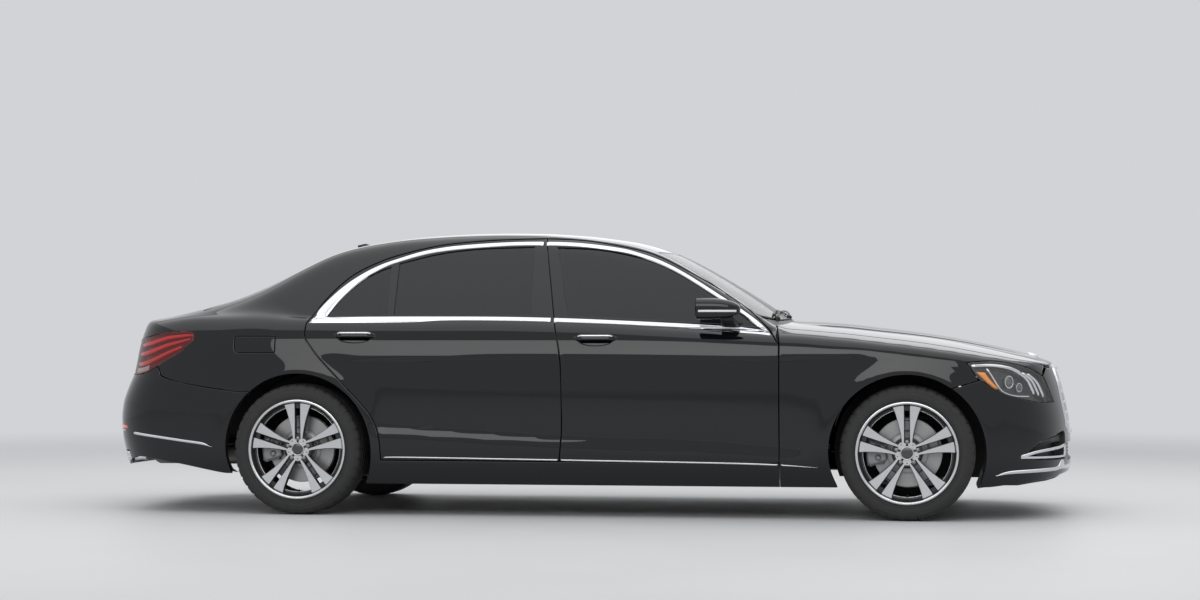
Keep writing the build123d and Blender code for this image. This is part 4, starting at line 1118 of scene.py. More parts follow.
def lathe(name, profile, origin, axis, materialName, body, slotName, replaced=(), steps=64, side="left"):
    # a profile of (along, radius) turned round an axis; radius 0 closes an end
    axis = Vector(axis).normalized()
    first = axis.orthogonal().normalized()
    second = axis.cross(first)
    rings = []
    for along, radius in profile:
        middle = Vector(origin) + axis * along
        rings.append([np.array(middle + (first * math.cos(t) + second * math.sin(t)) * radius)
                      for t in fullTurn(steps)])
    return loft(name, rings, materialName, body, slotName, side, replaced)


def tube(name, path, radius, materialName, body, slotName, side="left", replaced=(), count=12, flat=1.0):
    # a round bar along a smooth path
    places = smoothRun(path, max(radius * 1.2, 0.006))
    rings = []
    for i, place in enumerate(places):
        ahead = places[min(i + 1, len(places) - 1)] - places[max(i - 1, 0)]
        ahead = Vector(ahead).normalized()
        across = ahead.cross(Vector((0, 0, 1)) if abs(ahead.z) < 0.9 else Vector((1, 0, 0))).normalized()
        upward = across.cross(ahead)
        rings.append(roundedRing(place, np.array(across) * radius, np.array(upward) * radius * flat, 2.0,
                                 count))
    return loft(name, rings, materialName, body, slotName, side, replaced)


def tray(name, outline, chart, body, materialName, slotName, sink, side="left", replaced=(), cell=0.014):
    # a sunk floor with a wall up to the surface
    loop = outline if signedArea(outline) > 0 else outline[::-1]
    places, faces = fillLoops([insetLoop(loop, 0.005)], cell)
    floorPoints = chart(places)
    floorNormals = bodyNormals(floorPoints)
    floorPoints -= floorNormals * sink
    rim = chart(loop)
    rim -= bodyNormals(rim) * 0.002
    count = len(loop)
    points = np.vstack([floorPoints, rim])
    a, b, c = floorPoints[faces[0][0]], floorPoints[faces[0][1]], floorPoints[faces[0][2]]
    outwards = np.dot(np.cross(b - a, c - a), floorNormals[faces[0][0]]) > 0
    polygons = [tuple(f) if outwards else tuple(f[::-1]) for f in faces]
    base = len(floorPoints)
    for i in range(count):
        j = (i + 1) % count
        quad = (i, base + i, base + j, j)
        polygons.append(quad if outwards else quad[::-1])
    made = meshObject(name, *onSide(points, polygons, side), materialName, body, slotName, None, replaced)
    made.data.set_sharp_from_angle(angle=math.radians(40))
    return made


def ribbon(view, points, place, width, tilt=0.5):
    # two edges, a width apart, of a band along a line on the surface
    line = place(views[view](smoothRun(points, 0.01)))
    ahead = np.gradient(line, axis=0)
    ahead /= np.linalg.norm(ahead, axis=1)[:, None]
    left = np.column_stack([-ahead[:, 1], ahead[:, 0]])
    return line - left * width * (1 - tilt), line + left * width * tilt


def noseBand(name, view, points, width, side, materialName="brightTrim", slotName="bright_trim", **more):
    return strip(f"{name}_{side}", ribbon(view, points, nosePlace, width), noseChart, "root",
                 materialName, slotName,
                 side, **more)


# headlamps: a clear lens over a dark tray with bright bars, projectors and light guides
lampLoop = traced([
    ("side", [(2.036, 0.797), (2.15, 0.806), (2.25, 0.795), (2.35, 0.765), (2.409, 0.731)]),
    ("front", [(0.625, 0.727), (0.602, 0.66), (0.575, 0.600)]),
    ("side", [(2.470, 0.597), (2.399, 0.598), (2.298, 0.620), (2.213, 0.646), (2.157, 0.680),
              (2.095, 0.716)]),
    ("side", [(2.095, 0.716), (2.036, 0.797)]),
], nosePlace)
headlamp = {"projectors": [((2.253, 0.706), 0.027), ((2.308, 0.678), 0.019)], "bars": 3, "sink": 0.045}
amberPair = evenPair([(2.083, 0.753), (2.128, 0.707), (2.177, 0.661)],
                     [(2.128, 0.750), (2.152, 0.716), (2.194, 0.668)])
for side in sides:
    panel(f"headlampLens_{side}", lampLoop, noseChart, "root", "lampClear", "lamp_clear", side=side,
          replaced=["headlamps"], depth=0.003, cell=0.016)
    tray(f"headlampTray_{side}", inward(lampLoop, 0.002), noseChart, "root",
         "lampDark", "lamp_clear", headlamp["sink"], side, ["headlamps"])
    noseBand("lampBrow", "side", [(2.060, 0.785), (2.165, 0.790), (2.248, 0.777), (2.312, 0.748)], 0.018,
             side,
             base=-0.012, replaced=["headlamps"], slotName="lamp_clear")
    for k in range(headlamp["bars"]):
        noseBand(f"lampBar{k}", "side", [(2.292 + 0.028 * k, 0.757 - 0.006 * k),
                                         (2.346 + 0.025 * k, 0.712 - 0.006 * k),
                                         (2.382 + 0.025 * k, 0.640 - 0.008 * k)], 0.0115, side,
                 base=-0.014,
                 replaced=["headlamps"], slotName="lamp_clear")
    strip(f"lampAmber_{side}", [nosePlace(views["side"](edge)) for edge in amberPair], noseChart, "root",
          "lampAmber",
          "lamp_clear", side, 0.005, -0.010, replaced=["headlamps"])
    noseBand("lampGuide", "side", [(2.136, 0.770), (2.160, 0.734), (2.204, 0.664), (2.240, 0.640),
                                   (2.29, 0.629),
                                   (2.355, 0.628)], 0.008, side, "brightTrim", "lamp_clear", base=-0.010,
             replaced=["headlamps"])
    for k, (place, radius) in enumerate(headlamp["projectors"]):
        middle = views["side"]([place])
        normal = bodyNormals(middle)[0]
        middle = middle[0] - normal * 0.040
        aim = np.array([0.75, 0.66, 0.0])
        lathe(f"lampRing{k}_{side}", [(0.0, radius * 0.9), (0.012, radius * 1.18), (0.016, radius * 1.2),
                                      (0.016, radius * 1.02), (0.006, radius * 0.98)], middle, aim,
              "brightTrim",
              "root", "lamp_clear", ["headlamps"], 40, side)
        lathe(f"lampEye{k}_{side}", [(0.004, radius * 0.98), (0.010, radius * 0.9),
                                     (0.016, radius * 0.66),
                                     (0.020, radius * 0.3), (0.021, 0.0004)], middle, aim, "eyeGlass",
              "root",
              "lamp_clear", ["headlamps"], 40, side)
print("headlamps made")

# tail lamps: red lens, dark tray, three curved light bars and a clear patch
tailUpper = np.vstack([tailPlace(views["side"](smoothRun([(-2.010, 0.920), *lampBrow[1:-1],
                                                          (-2.289, 0.931)], spacing))),
                       tailPlace(views["back"](smoothRun([(0.735, 0.930), (0.66, 0.920), (0.615, 0.916)],
                                                         spacing)))])
tailLower = np.vstack([tailPlace(views["side"](smoothRun([(-2.008, 0.916), (-2.045, 0.882),
                                                          (-2.088, 0.846),
                                                          (-2.150, 0.812), (-2.2225, 0.775),
                                                          (-2.27, 0.754),
                                                          (-2.32, 0.737), (-2.378, 0.727)], spacing))),
                       tailPlace(views["back"](smoothRun([(0.68, 0.727), (0.615, 0.729)], spacing)))])
tailSide = np.column_stack([np.linspace(tailUpper[-1, 0], tailLower[-1, 0], 20),
                            np.linspace(tailUpper[-1, 1], tailLower[-1, 1], 20)])
tailLoop = np.vstack([tailUpper, tailSide[1:-1], tailLower[::-1][:-1]])


def resampled(line, count):
    lengths = np.concatenate([[0], np.cumsum(np.linalg.norm(np.diff(line, axis=0), axis=1))])
    places = np.linspace(0, lengths[-1], count)
    return np.column_stack([np.interp(places, lengths, line[:, k]) for k in (0, 1)])


def between(share, start=0.0, end=1.0, count=70):
    # a line part of the way from the lamp's upper edge to its lower one
    upper, lower = resampled(tailUpper, 200), resampled(tailLower, 200)
    line = upper + (lower - upper) * share
    return resampled(line[int(start * 199):int(end * 199) + 1], count)


for side in sides:
    panel(f"tailLens_{side}", tailLoop, tailChart, "root", "lampRed", "lamp_red", side=side,
          replaced=["tail_lamps"], depth=0.003, cell=0.016)
    tray(f"tailTray_{side}", inward(tailLoop, 0.002), tailChart, "root", "lampDark", "lamp_red", 0.035,
         side,
         ["tail_lamps"])
    for k, (share, begin) in enumerate(((0.16, 0.06), (0.42, 0.12), (0.70, 0.22))):
        strip(f"tailBar{k}_{side}", (between(share + 0.055, begin, 0.97),
                                     between(share - 0.055, begin, 0.97)),
              tailChart, "root", "redLight", "lamp_red", side, 0.006, -0.014, replaced=["tail_lamps"])
    strip(f"tailClear_{side}", (between(0.96, 0.66, 0.96, 30), between(0.80, 0.66, 0.96, 30)), tailChart,
          "root",
          "lampWhite", "lamp_red", side, 0.005, -0.012, replaced=["tail_lamps"])
print("tail lamps made")

# grille: a bright frame, bars and a dark back
grilleOutline = [(0.0, 0.424), (0.300, 0.424), (0.360, 0.440), (0.405, 0.470), (0.418, 0.530),
                 (0.425, 0.600),
                 (0.416, 0.670), (0.396, 0.738), (0.380, 0.764), (0.340, 0.777), (0.0, 0.780)]
grilleLine = nosePlace(views["front"](joined([grilleOutline[:2], grilleOutline[1:4], grilleOutline[3:8],
                                              grilleOutline[7:10], grilleOutline[9:]], spacing)))
grilleLine = np.vstack([grilleLine, nosePlace(views["front"]([(0.0, 0.780)]))])
grilleLoop = np.vstack([grilleLine, (grilleLine[1:-1] * [-1, 1])[::-1]])
grille = {"rows": (0.478, 0.534, 0.590, 0.646, 0.702), "rowHeight": 0.017, "posts": 15, "frame": 0.024}


def closedStrip(name, loop, width, chart, body, materialName, slotName, proud, replaced=(), columns=9):
    loop = loop if signedArea(loop) > 0 else loop[::-1]
    share = np.linspace(0, 1, columns)
    flat = np.vstack([insetLoop(loop, width * t) for t in share])
    surface = chart(flat)
    normals = bodyNormals(surface)
    height = np.repeat(np.where((share > 0) & (share < 1), 1 - np.abs(2 * share - 1) ** 4, -2.5),
                       len(loop)) * proud
    points = surface + normals * height[:, None]
    faces = gridFaces(columns, len(loop), False, True)
    f = faces[len(faces) // 2]
    if np.dot(np.cross(points[f[1]] - points[f[0]], points[f[2]] - points[f[0]]), normals[f[0]]) < 0:
        faces = [face[::-1] for face in faces]
    return meshObject(name, points, faces, materialName, body, slotName, None, replaced)


closedStrip("grilleFrame", grilleLoop, grille["frame"], noseChart, "root", "brightTrim", "bright_trim",
            0.008,
            ["grille"])
tray("grilleBack", inward(grilleLoop, 0.012), noseChart, "root", "blackTrim", "bright_trim", 0.045,
     replaced=["grille"], cell=0.03)


def grilleHalfWidth(z):
    ys, zs = zip(*grilleOutline[1:-1])
    return float(np.interp(z, zs, ys)) - 0.018


for k, row in enumerate(grille["rows"]):
    reach = grilleHalfWidth(row)
    ys = np.linspace(-reach, reach, 60)
    edges = [nosePlace(views["front"](levelLine(ys, row + up)))
             for up in (-grille["rowHeight"] / 2, grille["rowHeight"] / 2)]
    strip(f"grilleRow{k}", edges, noseChart, "root", proud=0.010, base=-0.016, replaced=["grille"])
for k in range(grille["posts"]):
    across = (k - (grille["posts"] - 1) / 2) * 0.054
    zs = np.linspace(0.435, 0.768, 30)
    width = 0.007 if across == 0 else 0.0025
    edges = [nosePlace(views["front"](np.column_stack([np.full(30, across + out),
                                                       zs]))) for out in (-width, width)]
    strip(f"grillePost{k}", edges, noseChart, "root", "brightTrim" if across == 0 else "blackTrim",
          "bright_trim",
          proud=0.008, base=-0.022 if across else -0.012, replaced=["grille"])
print("grille made")

# intakes, blades and lips of the front bumper
for side in sides:
    tray(f"intakeTray_{side}", inward(intakeLoop, 0.002), noseChart, "root", "blackTrim", "paint", 0.055,
         side,
         ["front_bumper"], 0.03)
    for k, row in enumerate((0.385, 0.407, 0.340)):
        noseBand(f"intakeSlat{k}", "front", [(0.45, row + 0.012), (0.60, row + 0.006),
                                             (0.755, row - 0.012)], 0.006, side,
                 "blackTrim", "paint", base=-0.020, replaced=["front_bumper"])
    noseBand("bladeUpper", "front", [(0.455, 0.371), (0.53, 0.363), (0.63, 0.357), (0.742, 0.345),
                                     (0.806, 0.322)],
             0.016, side, base=0.001)
    noseBand("bladeLower", "front", [(0.455, 0.315), (0.57, 0.315), (0.70, 0.3165), (0.806, 0.319)],
             0.013, side,
             base=0.001)
    noseBand("bladeEnd", "front", [(0.452, 0.378), (0.4465, 0.345), (0.452, 0.309)], 0.012, side,
             base=0.002)
tray("middleTray", inward(middleLoop, 0.002), noseChart, "root", "blackTrim", "paint", 0.055,
     replaced=["front_bumper"],
     cell=0.03)
for k, row in enumerate((0.308, 0.326, 0.344, 0.362)):
    ys = np.linspace(-0.365, 0.365, 40)
    edges = [nosePlace(views["front"](levelLine(ys, row + up))) for up in (-0.003, 0.003)]
    strip(f"middleSlat{k}", edges, noseChart, "root", "blackTrim", "paint", proud=0.006, base=-0.02,
          replaced=["front_bumper"])
lipUpper = np.vstack([nosePlace(views["side"](smoothRun([(2.170, 0.2285), (2.25, 0.252), (2.40, 0.260),
                                                         (2.48, 0.264)], 0.01))),
                      nosePlace(views["front"](smoothRun([(0.545, 0.270), (0.512, 0.298), (0.472, 0.298),
                                                          (0.452, 0.270),
                                                          (0.30, 0.268), (0.0, 0.268)], 0.01)))])
lipLower = np.vstack([nosePlace(views["side"](smoothRun([(2.172, 0.2265), (2.25, 0.235), (2.40, 0.240),
                                                         (2.48, 0.242)], 0.01))),
                      nosePlace(views["front"](smoothRun([(0.56, 0.244), (0.40, 0.246), (0.0, 0.248)],
                                                         0.01)))])
lipUpper, lipLower = resampled(lipUpper, 150), resampled(lipLower, 150)
strip("frontLip", tuple(np.vstack([line, (line[:-1] * [-1, 1])[::-1]]) for line in (lipLower, lipUpper)),
      noseChart,
      "root", proud=0.006)
rearMiddle = tailPlace(views["back"](np.column_stack([np.linspace(-0.70, 0.70, 90), np.full(90, 0.428)])))
rearSide = resampled(tailPlace(views["side"](smoothRun([(-1.900, 0.348), (-1.955, 0.366), (-2.056, 0.379),
                                                        (-2.202, 0.397), (-2.376, 0.417)], 0.01))), 60)
stripEnds = window(np.linspace(0, 1, 60), 0.0, 0.14, 0.975, 1.0) * 0.9 + 0.1
strip("rearBand", [rearMiddle + [0, up] for up in (-0.0045, 0.0045)], tailChart, "root", proud=0.004)
for side in sides:
    strip(f"rearStrip_{side}", [rearSide + stripEnds[:, None] * [0, up] for up in (-0.0078, 0.0078)],
          tailChart, "root",
          side=side, proud=0.006)
    strip(f"rearReflector_{side}", ribbon("back", [(0.44, 0.452), (0.60, 0.450), (0.73, 0.446)],
                                          tailPlace, 0.016),
          tailChart, "root", "redLight", "lamp_red", side, 0.003)
lidBand = np.linspace(-0.50, 0.50, 90)
lidBandFoot = 0.905
strip("lidBand", [lidPlace(views["back"](np.column_stack([lidBand, lidBandFoot + up
                                                          - 0.010 * (lidBand / 0.5) ** 2])))
                  for up in (0.0, 0.024)], lidChart, "trunk_lid", proud=0.008, replaced=["trunk_lid"])
plate = {"half": 0.275, "foot": 0.762, "top": 0.890, "face": -2.494, "bolts": 0.089, "boltZ": 0.850,
         "hole": 0.003}
print("bumper trim made")

# wheels, built round their own centre for the left side: x ahead, y outboard, z up
wheel = {"twins": 5, "face": 0.101, "boltCircle": 0.056, "treadColumns": 240, "sipeEvery": 6}
slotShape = [(0.034, 0.0018), (0.042, 0.0095), (0.050, 0.0142), (0.060, 0.0146), (0.080, 0.0138),
             (0.18, 0.0138),
             (0.225, 0.0142), (0.242, 0.0148)]
outerShape = [(0.034, 0.0225), (0.050, 0.0262), (0.075, 0.0290), (0.10, 0.0330), (0.15, 0.0440),
              (0.20, 0.0590),
              (0.225, 0.0690), (0.242, 0.0800)]


def outWay(angle):
    # straight out from the wheel's centre
    return np.array([math.cos(angle), 0, math.sin(angle)])


def roundWay(angle):
    # the way the rim goes round there
    return np.array([-math.sin(angle), 0, math.cos(angle)])


def onWheel(points, axle, side):
    # from wheel coordinates to the car's
    points = np.array(points, float) + [axleX[axle], wheelY[axle], wheelZ]
    return points * [1, -1, 1] if side == "right" else points


def wheelPiece(name, points, faces, materialName, axle, side, node, slotName, angle=35, body=None):
    made = meshObject(f"{axle}{name}_{side}", onWheel(points, axle, side),
                      [f[::-1] for f in faces] if side == "right" else faces, materialName,
                      body or f"{axle}_wheel_{side}", slotName, None,
                      [f"{axle}_{node}_{side}"] if node else [])
    made.data.set_sharp_from_angle(angle=math.radians(angle))
    return made


def turnedGrid(profile, columns, closed=True):
    # a closed profile of (across, radius) turned round the wheel's axis
    profile = np.array(profile, float)
    turns = fullTurn(columns)
    points = np.stack([profile[:, 1][:, None] * np.cos(turns), np.repeat(profile[:, :1], columns, axis=1),
                       profile[:, 1][:, None] * np.sin(turns)], axis=2)
    return points.reshape(-1, 3), gridFaces(len(profile), columns, closed, True)


def outwardFaces(points, faces):
    # faces turned so that a closed ring's volume counts as positive
    volume = sum(np.dot(points[f[0]], np.cross(points[f[1]], points[f[2]])) for f in faces)
    volume += sum(np.dot(points[f[0]], np.cross(points[f[2]],
                                                points[f[3]])) for f in faces if len(f) == 4)
    return faces if volume > 0 else [f[::-1] for f in faces]


def merged(parts):
    # several lists of points and faces as one
    points, faces, base = [], [], 0
    for partPoints, partFaces in parts:
        points.append(np.array(partPoints, float))
        faces += [tuple(i + base for i in f) for f in partFaces]
        base += len(partPoints)
    return np.vstack(points), faces


def spokeSolid(angle, flip, grow, faceLift, depthShare):
    # half of a twin: stations out from the hub, each a four-cornered section with cut-off edges
    rings = []
    radial = outWay(angle)
    across = roundWay(angle) * flip
    for radius in np.linspace(0.034, 0.242, 27):
        inner = float(np.interp(radius, *zip(*slotShape))) + grow
        outer = min(float(np.interp(radius, *zip(*outerShape))),
                    radius * math.tan(math.pi / 5) + 0.0005) - grow
        share = (radius - 0.034) / 0.208
        face = wheel["face"] - 0.006 + 0.010 * share ** 0.7 + faceLift
        depth = (0.036 - 0.012 * share) * depthShare
        lean = 0.0025 if depthShare == 1.0 else 0.0
        section = [(inner + lean, face), (inner, face - 0.002), (inner - lean, face - depth),
                   (outer + lean, face - depth), (outer, face - 0.002), (outer - lean, face)]
        rings.append([radial * radius + across * place + np.array([0, up, 0]) for place, up in section])
    return prism(rings)


twinAngles = [math.pi / 2 + 2 * math.pi * k / wheel["twins"] for k in range(wheel["twins"])]
spokeBodies = merged([spokeSolid(angle, flip, 0.0, -0.0006,
                                 1.0) for angle in twinAngles for flip in (-1, 1)])
spokeFaces = merged([spokeSolid(angle, flip, 0.0016, 0.0,
                                0.03) for angle in twinAngles for flip in (-1, 1)])
barrelProfile = [(0.108, 0.258), (0.108, 0.2412), (-0.108, 0.2412), (-0.108, 0.258), (-0.120, 0.258),
                 (-0.120, 0.246),
                 (-0.110, 0.231), (-0.02, 0.229), (0.050, 0.227), (0.074, 0.2215), (0.0805, 0.2215),
                 (0.0822, 0.2235),
                 (0.0835, 0.2335), (0.0900, 0.2370), (0.106, 0.2395), (0.112, 0.2430), (0.1185, 0.2470),
                 (0.1195, 0.2575)]
stepProfile = [(0.0815, 0.2213), (0.0832, 0.2222), (0.0838, 0.2236), (0.0832, 0.2246), (0.0815, 0.2246)]
lipProfile = [(0.1135, 0.2448), (0.1190, 0.2464), (0.1222, 0.2500), (0.1228, 0.2545), (0.1212, 0.2588),
              (0.1175, 0.2590), (0.1180, 0.2480)]
hubProfile = [(0.048, 0.080), (0.080, 0.078), (0.088, 0.070), (0.0895, 0.036), (0.0895, 0.0335),
              (0.070, 0.0335),
              (0.048, 0.060)]
capProfile = [(0.075, 0.0290), (0.0985, 0.0285), (0.0998, 0.0250), (0.1008, 0.0180), (0.1018, 0.0080),
              (0.1021, 0.0004), (0.075, 0.0004)]
capRingProfile = [(0.075, 0.0345), (0.0995, 0.0345), (0.1018, 0.0330), (0.1020, 0.0305), (0.0996, 0.0288),
                  (0.075, 0.0288)]


def boltSolid(angle):
    middle = outWay(angle) * wheel["boltCircle"]
    rings = []
    for along, radius in ((0.080, 0.0115), (0.0925, 0.0115), (0.0935, 0.0100), (0.100, 0.0095),
                          (0.1015, 0.0070)):
        turns = fullTurn(6)
        rings.append([middle + [radius * math.cos(t), along, radius * math.sin(t)] for t in turns])
    return prism(rings)


def domeSolid(angle, radius, along, size):
    middle = outWay(angle) * radius
    turns = fullTurn(12)
    return prism([[middle + [r * math.cos(t), along + up, r * math.sin(t)] for t in turns]
                  for up, r in ((-0.004, size), (0.0, size), (size * 0.5, size * 0.75),
                                (size * 0.7, size * 0.2))])


bolts = merged([boltSolid(angle) for angle in twinAngles])
dots = merged([domeSolid(angle + math.pi / 5, 0.2285, 0.0840,
                         0.0030) for angle in twinAngles[:3] + twinAngles[4:]])
valve = prism([[np.array([r * math.cos(t), along, -0.2175 + r * math.sin(t)])
                for t in fullTurn(12)]
               for along, r in ((0.060, 0.0055), (0.084, 0.0050), (0.086, 0.0040), (0.106, 0.0038),
                                (0.108, 0.0025))])


def crossRib(angle, start, end, top):
    # a low web across the slot of a twin
    out = outWay(angle)
    turnWay = roundWay(angle)
    return prism([[out * r + turnWay * w * 0.0150 + np.array([0, y, 0]) for w, y in
                   ((-1, top - 0.016), (1, top - 0.016), (1, top), (-1, top))] for r in (start, end)])


def hubLug(angle):
    # the small machined land between two twins; its hole is not cut, and a dark dome of painted shade stands
    # in for it
    out = outWay(angle)
    turnWay = roundWay(angle)
    land = [(0.036, -0.020), (0.036, 0.020), (0.047, 0.0235), (0.062, 0.0080), (0.062, -0.0080),
            (0.047, -0.0235)]
    return prism([[out * (r - drop) + turnWay * w * (1 - drop * 20) + np.array([0, y, 0]) for r,
                   w in land]
                  for y, drop in ((0.078, 0.0), (0.0955, 0.0), (0.0968, 0.0012))])


ribs = merged([crossRib(angle, *rib) for angle in twinAngles
               for rib in ((0.066, 0.078, 0.090), (0.108, 0.118, 0.086), (0.160, 0.168, 0.086),
                           (0.214, 0.240, 0.094))])
lugs = merged([hubLug(angle + math.pi / 5) for angle in twinAngles])
# dark domes on the lands: painted shade standing in for their holes, which are not cut
holeShadeDomes = merged([domeSolid(angle + math.pi / 5, 0.051, 0.0968, 0.0034) for angle in twinAngles])

# tyre profile: tread with four grooves, shoulders and ribbed sidewalls
treadRadius = tyreRadius
halfProfile = [(0.0, treadRadius)]
for grooveAt in (0.022, 0.058):
    halfProfile += [(grooveAt - 0.0055, treadRadius - grooveAt * 0.006),
                    (grooveAt - 0.004, treadRadius - 0.0075),
                    (grooveAt + 0.004, treadRadius - 0.0075),
                    (grooveAt + 0.0055, treadRadius - grooveAt * 0.006)]
halfProfile.insert(1, (0.009, treadRadius))
halfProfile.insert(6, (0.040, treadRadius - 0.0003))
halfProfile += [(0.074, treadRadius - 0.0008), (0.086, treadRadius - 0.0016),
                (0.097, treadRadius - 0.0035),
                (0.107, treadRadius - 0.0080), (0.1145, treadRadius - 0.0160),
                (0.1190, treadRadius - 0.0260),
                (0.1205, treadRadius - 0.0270), (0.1214, treadRadius - 0.0330),
                (0.1205, treadRadius - 0.0340),
                (0.1222, 0.3000), (0.1225, 0.2900), (0.1212, 0.2780), (0.1222, 0.2770), (0.1222, 0.2745),
                (0.1208, 0.2735), (0.1190, 0.2660), (0.1225, 0.2645), (0.1222, 0.2615), (0.1170, 0.2602),
                (0.1092, 0.2590), (0.1092, 0.2425)]
tyreProfile = np.array([*[(-y, r) for y, r in reversed(halfProfile[1:])], *halfProfile])
tyrePoints, tyreFaces = turnedGrid(tyreProfile, wheel["treadColumns"])
across = np.abs(tyrePoints[:, 1])
column = np.arange(len(tyrePoints)) % wheel["treadColumns"]
radius = np.hypot(tyrePoints[:, 0], tyrePoints[:, 2])
shoulder = (across > 0.066) & (across < 0.1160) & (radius > 0.318) & (column % wheel["sipeEvery"] == 0)
blocks = (across > 0.03) & (across < 0.05) & (column % wheel["sipeEvery"] == 3)
centreCuts = (across < 0.012) & (column % (2 * wheel["sipeEvery"]) == 1)
drop = np.where(shoulder, 0.0050, 0) + np.where(blocks | centreCuts, 0.0035, 0)
tyrePoints[:, 0] *= 1 - drop / radius
tyrePoints[:, 2] *= 1 - drop / radius

discProfile = [(0.012, 0.084), (0.046, 0.084), (0.0462, 0.060), (0.034, 0.060), (0.030, 0.0625),
               (-0.020, 0.0625),
               (-0.020, 0.176), (-0.011, 0.176), (-0.011, 0.100), (0.003, 0.100), (0.003, 0.176),
               (0.0105, 0.176),
               (0.012, 0.1745), (0.012, 0.172), (0.0116, 0.1715), (0.012, 0.171), (0.012, 0.105),
               (0.0105, 0.103),
               (0.0105, 0.092)]


def finSolid(angle):
    out = outWay(angle)
    turnWay = roundWay(angle)
    return prism([[out * r + turnWay * w * 0.0022 + np.array([0, y, 0]) for w, y in
                   ((-1, -0.0112), (1, -0.0112), (1, 0.0032), (-1, 0.0032))] for r in (0.110, 0.1745)])


fins = merged([finSolid(2 * math.pi * k / 36) for k in range(36)])


def caliperShell(radiusLow, radiusHigh, yLow, yHigh, angles):
    rings = []
    for angle in angles:
        inset = 0.006 if angle in (angles[0], angles[-1]) else 0.0
        out = outWay(angle)
        middle = out * (radiusLow + radiusHigh) / 2 + np.array([0, (yLow + yHigh) / 2, 0])
        rings.append(roundedRing(middle, out * ((radiusHigh - radiusLow) / 2 - inset),
                                 np.array([0, (yHigh - yLow) / 2 - inset, 0]), 5.0, 24))
    return prism(rings)


caliperAngles = list(np.radians(np.linspace(160, 201, 11)))
caliper = merged([caliperShell(0.106, 0.209, 0.019, 0.0435, caliperAngles),
                  caliperShell(0.183, 0.2095, -0.063, 0.0435, caliperAngles),
                  caliperShell(0.106, 0.209, -0.063, -0.027, caliperAngles),
                  *[domeSolid(math.radians(a), 0.150, 0.0435, 0.017) for a in (171, 190)],
                  *[domeSolid(math.radians(a), 0.196, 0.0435, 0.006) for a in (163.5, 197.5)]])


def turned(profile, columns):
    points, faces = turnedGrid(profile, columns)
    return points, outwardFaces(points, faces)


# name, solid, material, node, slot, and the angle from which its edges are sharp
wheelParts = [
    ("Barrel", turned(barrelProfile, 96), "alloyDark", "rim", "alloy", 35),
    ("Lip", turned(lipProfile, 128), "alloyFace", "rim", "alloy", 60),
    ("Hub", turned(hubProfile, 64), "alloyDark", "rim", "alloy", 35),
    ("Cap", turned(capProfile, 48), "capFinish", "rim", "alloy", 35),
    ("CapRing", turned(capRingProfile, 96), "alloyFace", "rim", "alloy", 60),
    ("Step", turned(stepProfile, 96), "alloyFace", "rim", "alloy", 60),
    ("Ribs", ribs, "alloyDark", "rim", "alloy", 35),
    ("Lugs", lugs, "alloyFace", "rim", "alloy", 35),
    # the dark domes on the next line are painted shade in place of the lands' holes
    ("LugHoles", holeShadeDomes, "capFinish", "rim", "alloy", 35),
    ("Spokes", spokeBodies, "alloyDark", "rim", "alloy", 35),
    ("Faces", spokeFaces, "alloyFace", "rim", "alloy", 35),
    ("Bolts", bolts, "boltSteel", "rim", "alloy", 35),
    ("Dots", dots, "boltSteel", "rim", "alloy", 35),
    ("Valve", valve, "blackTrim", "rim", "alloy", 35),
    ("Tyre", (tyrePoints, outwardFaces(tyrePoints, tyreFaces)), "tyreRubber", "tyre", "tyre", 28),
    ("Disc", turned(discProfile, 96), "iron", "brake_disc", "brake_iron", 35),
    ("Fins", fins, "iron", "brake_disc", "brake_iron", 35)]
for axle in ("front", "rear"):
    for side in sides:
        for name, (points, faces), finish, node, slotName, angle in wheelParts:
            wheelPiece(name, points, faces, finish, axle, side, node, slotName, angle)
        wheelPiece("Caliper", *caliper, "caliperPaint", axle, side, None, "chassis", 45,
                   f"knuckle_{side}" if axle == "front" else "root")
print("wheels made")

# door handles with their bright inserts, over shallow cups
for side in sides:
    for place, handle in handles.items():
        xs = np.linspace(handle["start"], handle["end"], 30)
        share = np.linspace(0, 1, 30)
        lift = window(share, 0.0, 0.20, 0.80, 1.0) * 0.027 - 0.004
        surface = views["side"](np.column_stack([xs, np.full(30, handle["height"])]))
        normals = bodyNormals(surface)
        upwards = np.cross(normals, np.tile([1.0, 0, 0], (30, 1)))
        upwards *= np.sign(upwards[:, 2:3])
        swell = 0.6 + 0.4 * window(share, 0.0, 0.15, 0.85, 1.0)
        rings, insert = [], []
        for k in range(30):
            rings.append(roundedRing(surface[k] + normals[k] * lift[k], upwards[k] * 0.0165 * swell[k],
                                     normals[k] * 0.0075 * swell[k], 3.2, 24))
            if 3 <= k <= 26:
                insert.append(roundedRing(surface[k] + normals[k] * (lift[k] + 0.0070) + upwards[k] * 0.0052,
                                          upwards[k] * 0.0036, normals[k] * 0.0016, 2.5, 12))
        body = f"{handle['body']}_{side}"
        loft(f"{place}Handle_{side}", rings, "paint", body, "paint", side, [body])
        loft(f"{place}HandleInsert_{side}", insert, "brightTrim", body, "bright_trim", side)
        tray(f"{place}HandleCup_{side}", cups[place], sideChart, body, "paint", "paint", 0.0112, side,
             [body], 0.01)
print("handles made")

# mirrors
mirror = {"middle": (0.991, 1.071), "half": (0.069, 0.054), "back": 0.678, "tip": 0.900, "power": 3.2}


def mirrorScale(x):
    return max(1 - max((x - 0.715) / 0.188, 0) ** 2.6, 0.0) ** 0.42


def mirrorRing(x, scale, lean=0.0):
    return roundedRing((x, mirror["middle"][0], mirror["middle"][1] + lean),
                       (0, mirror["half"][0] * scale, 0),
                       (0, 0, mirror["half"][1] * scale), 3.2, 40)


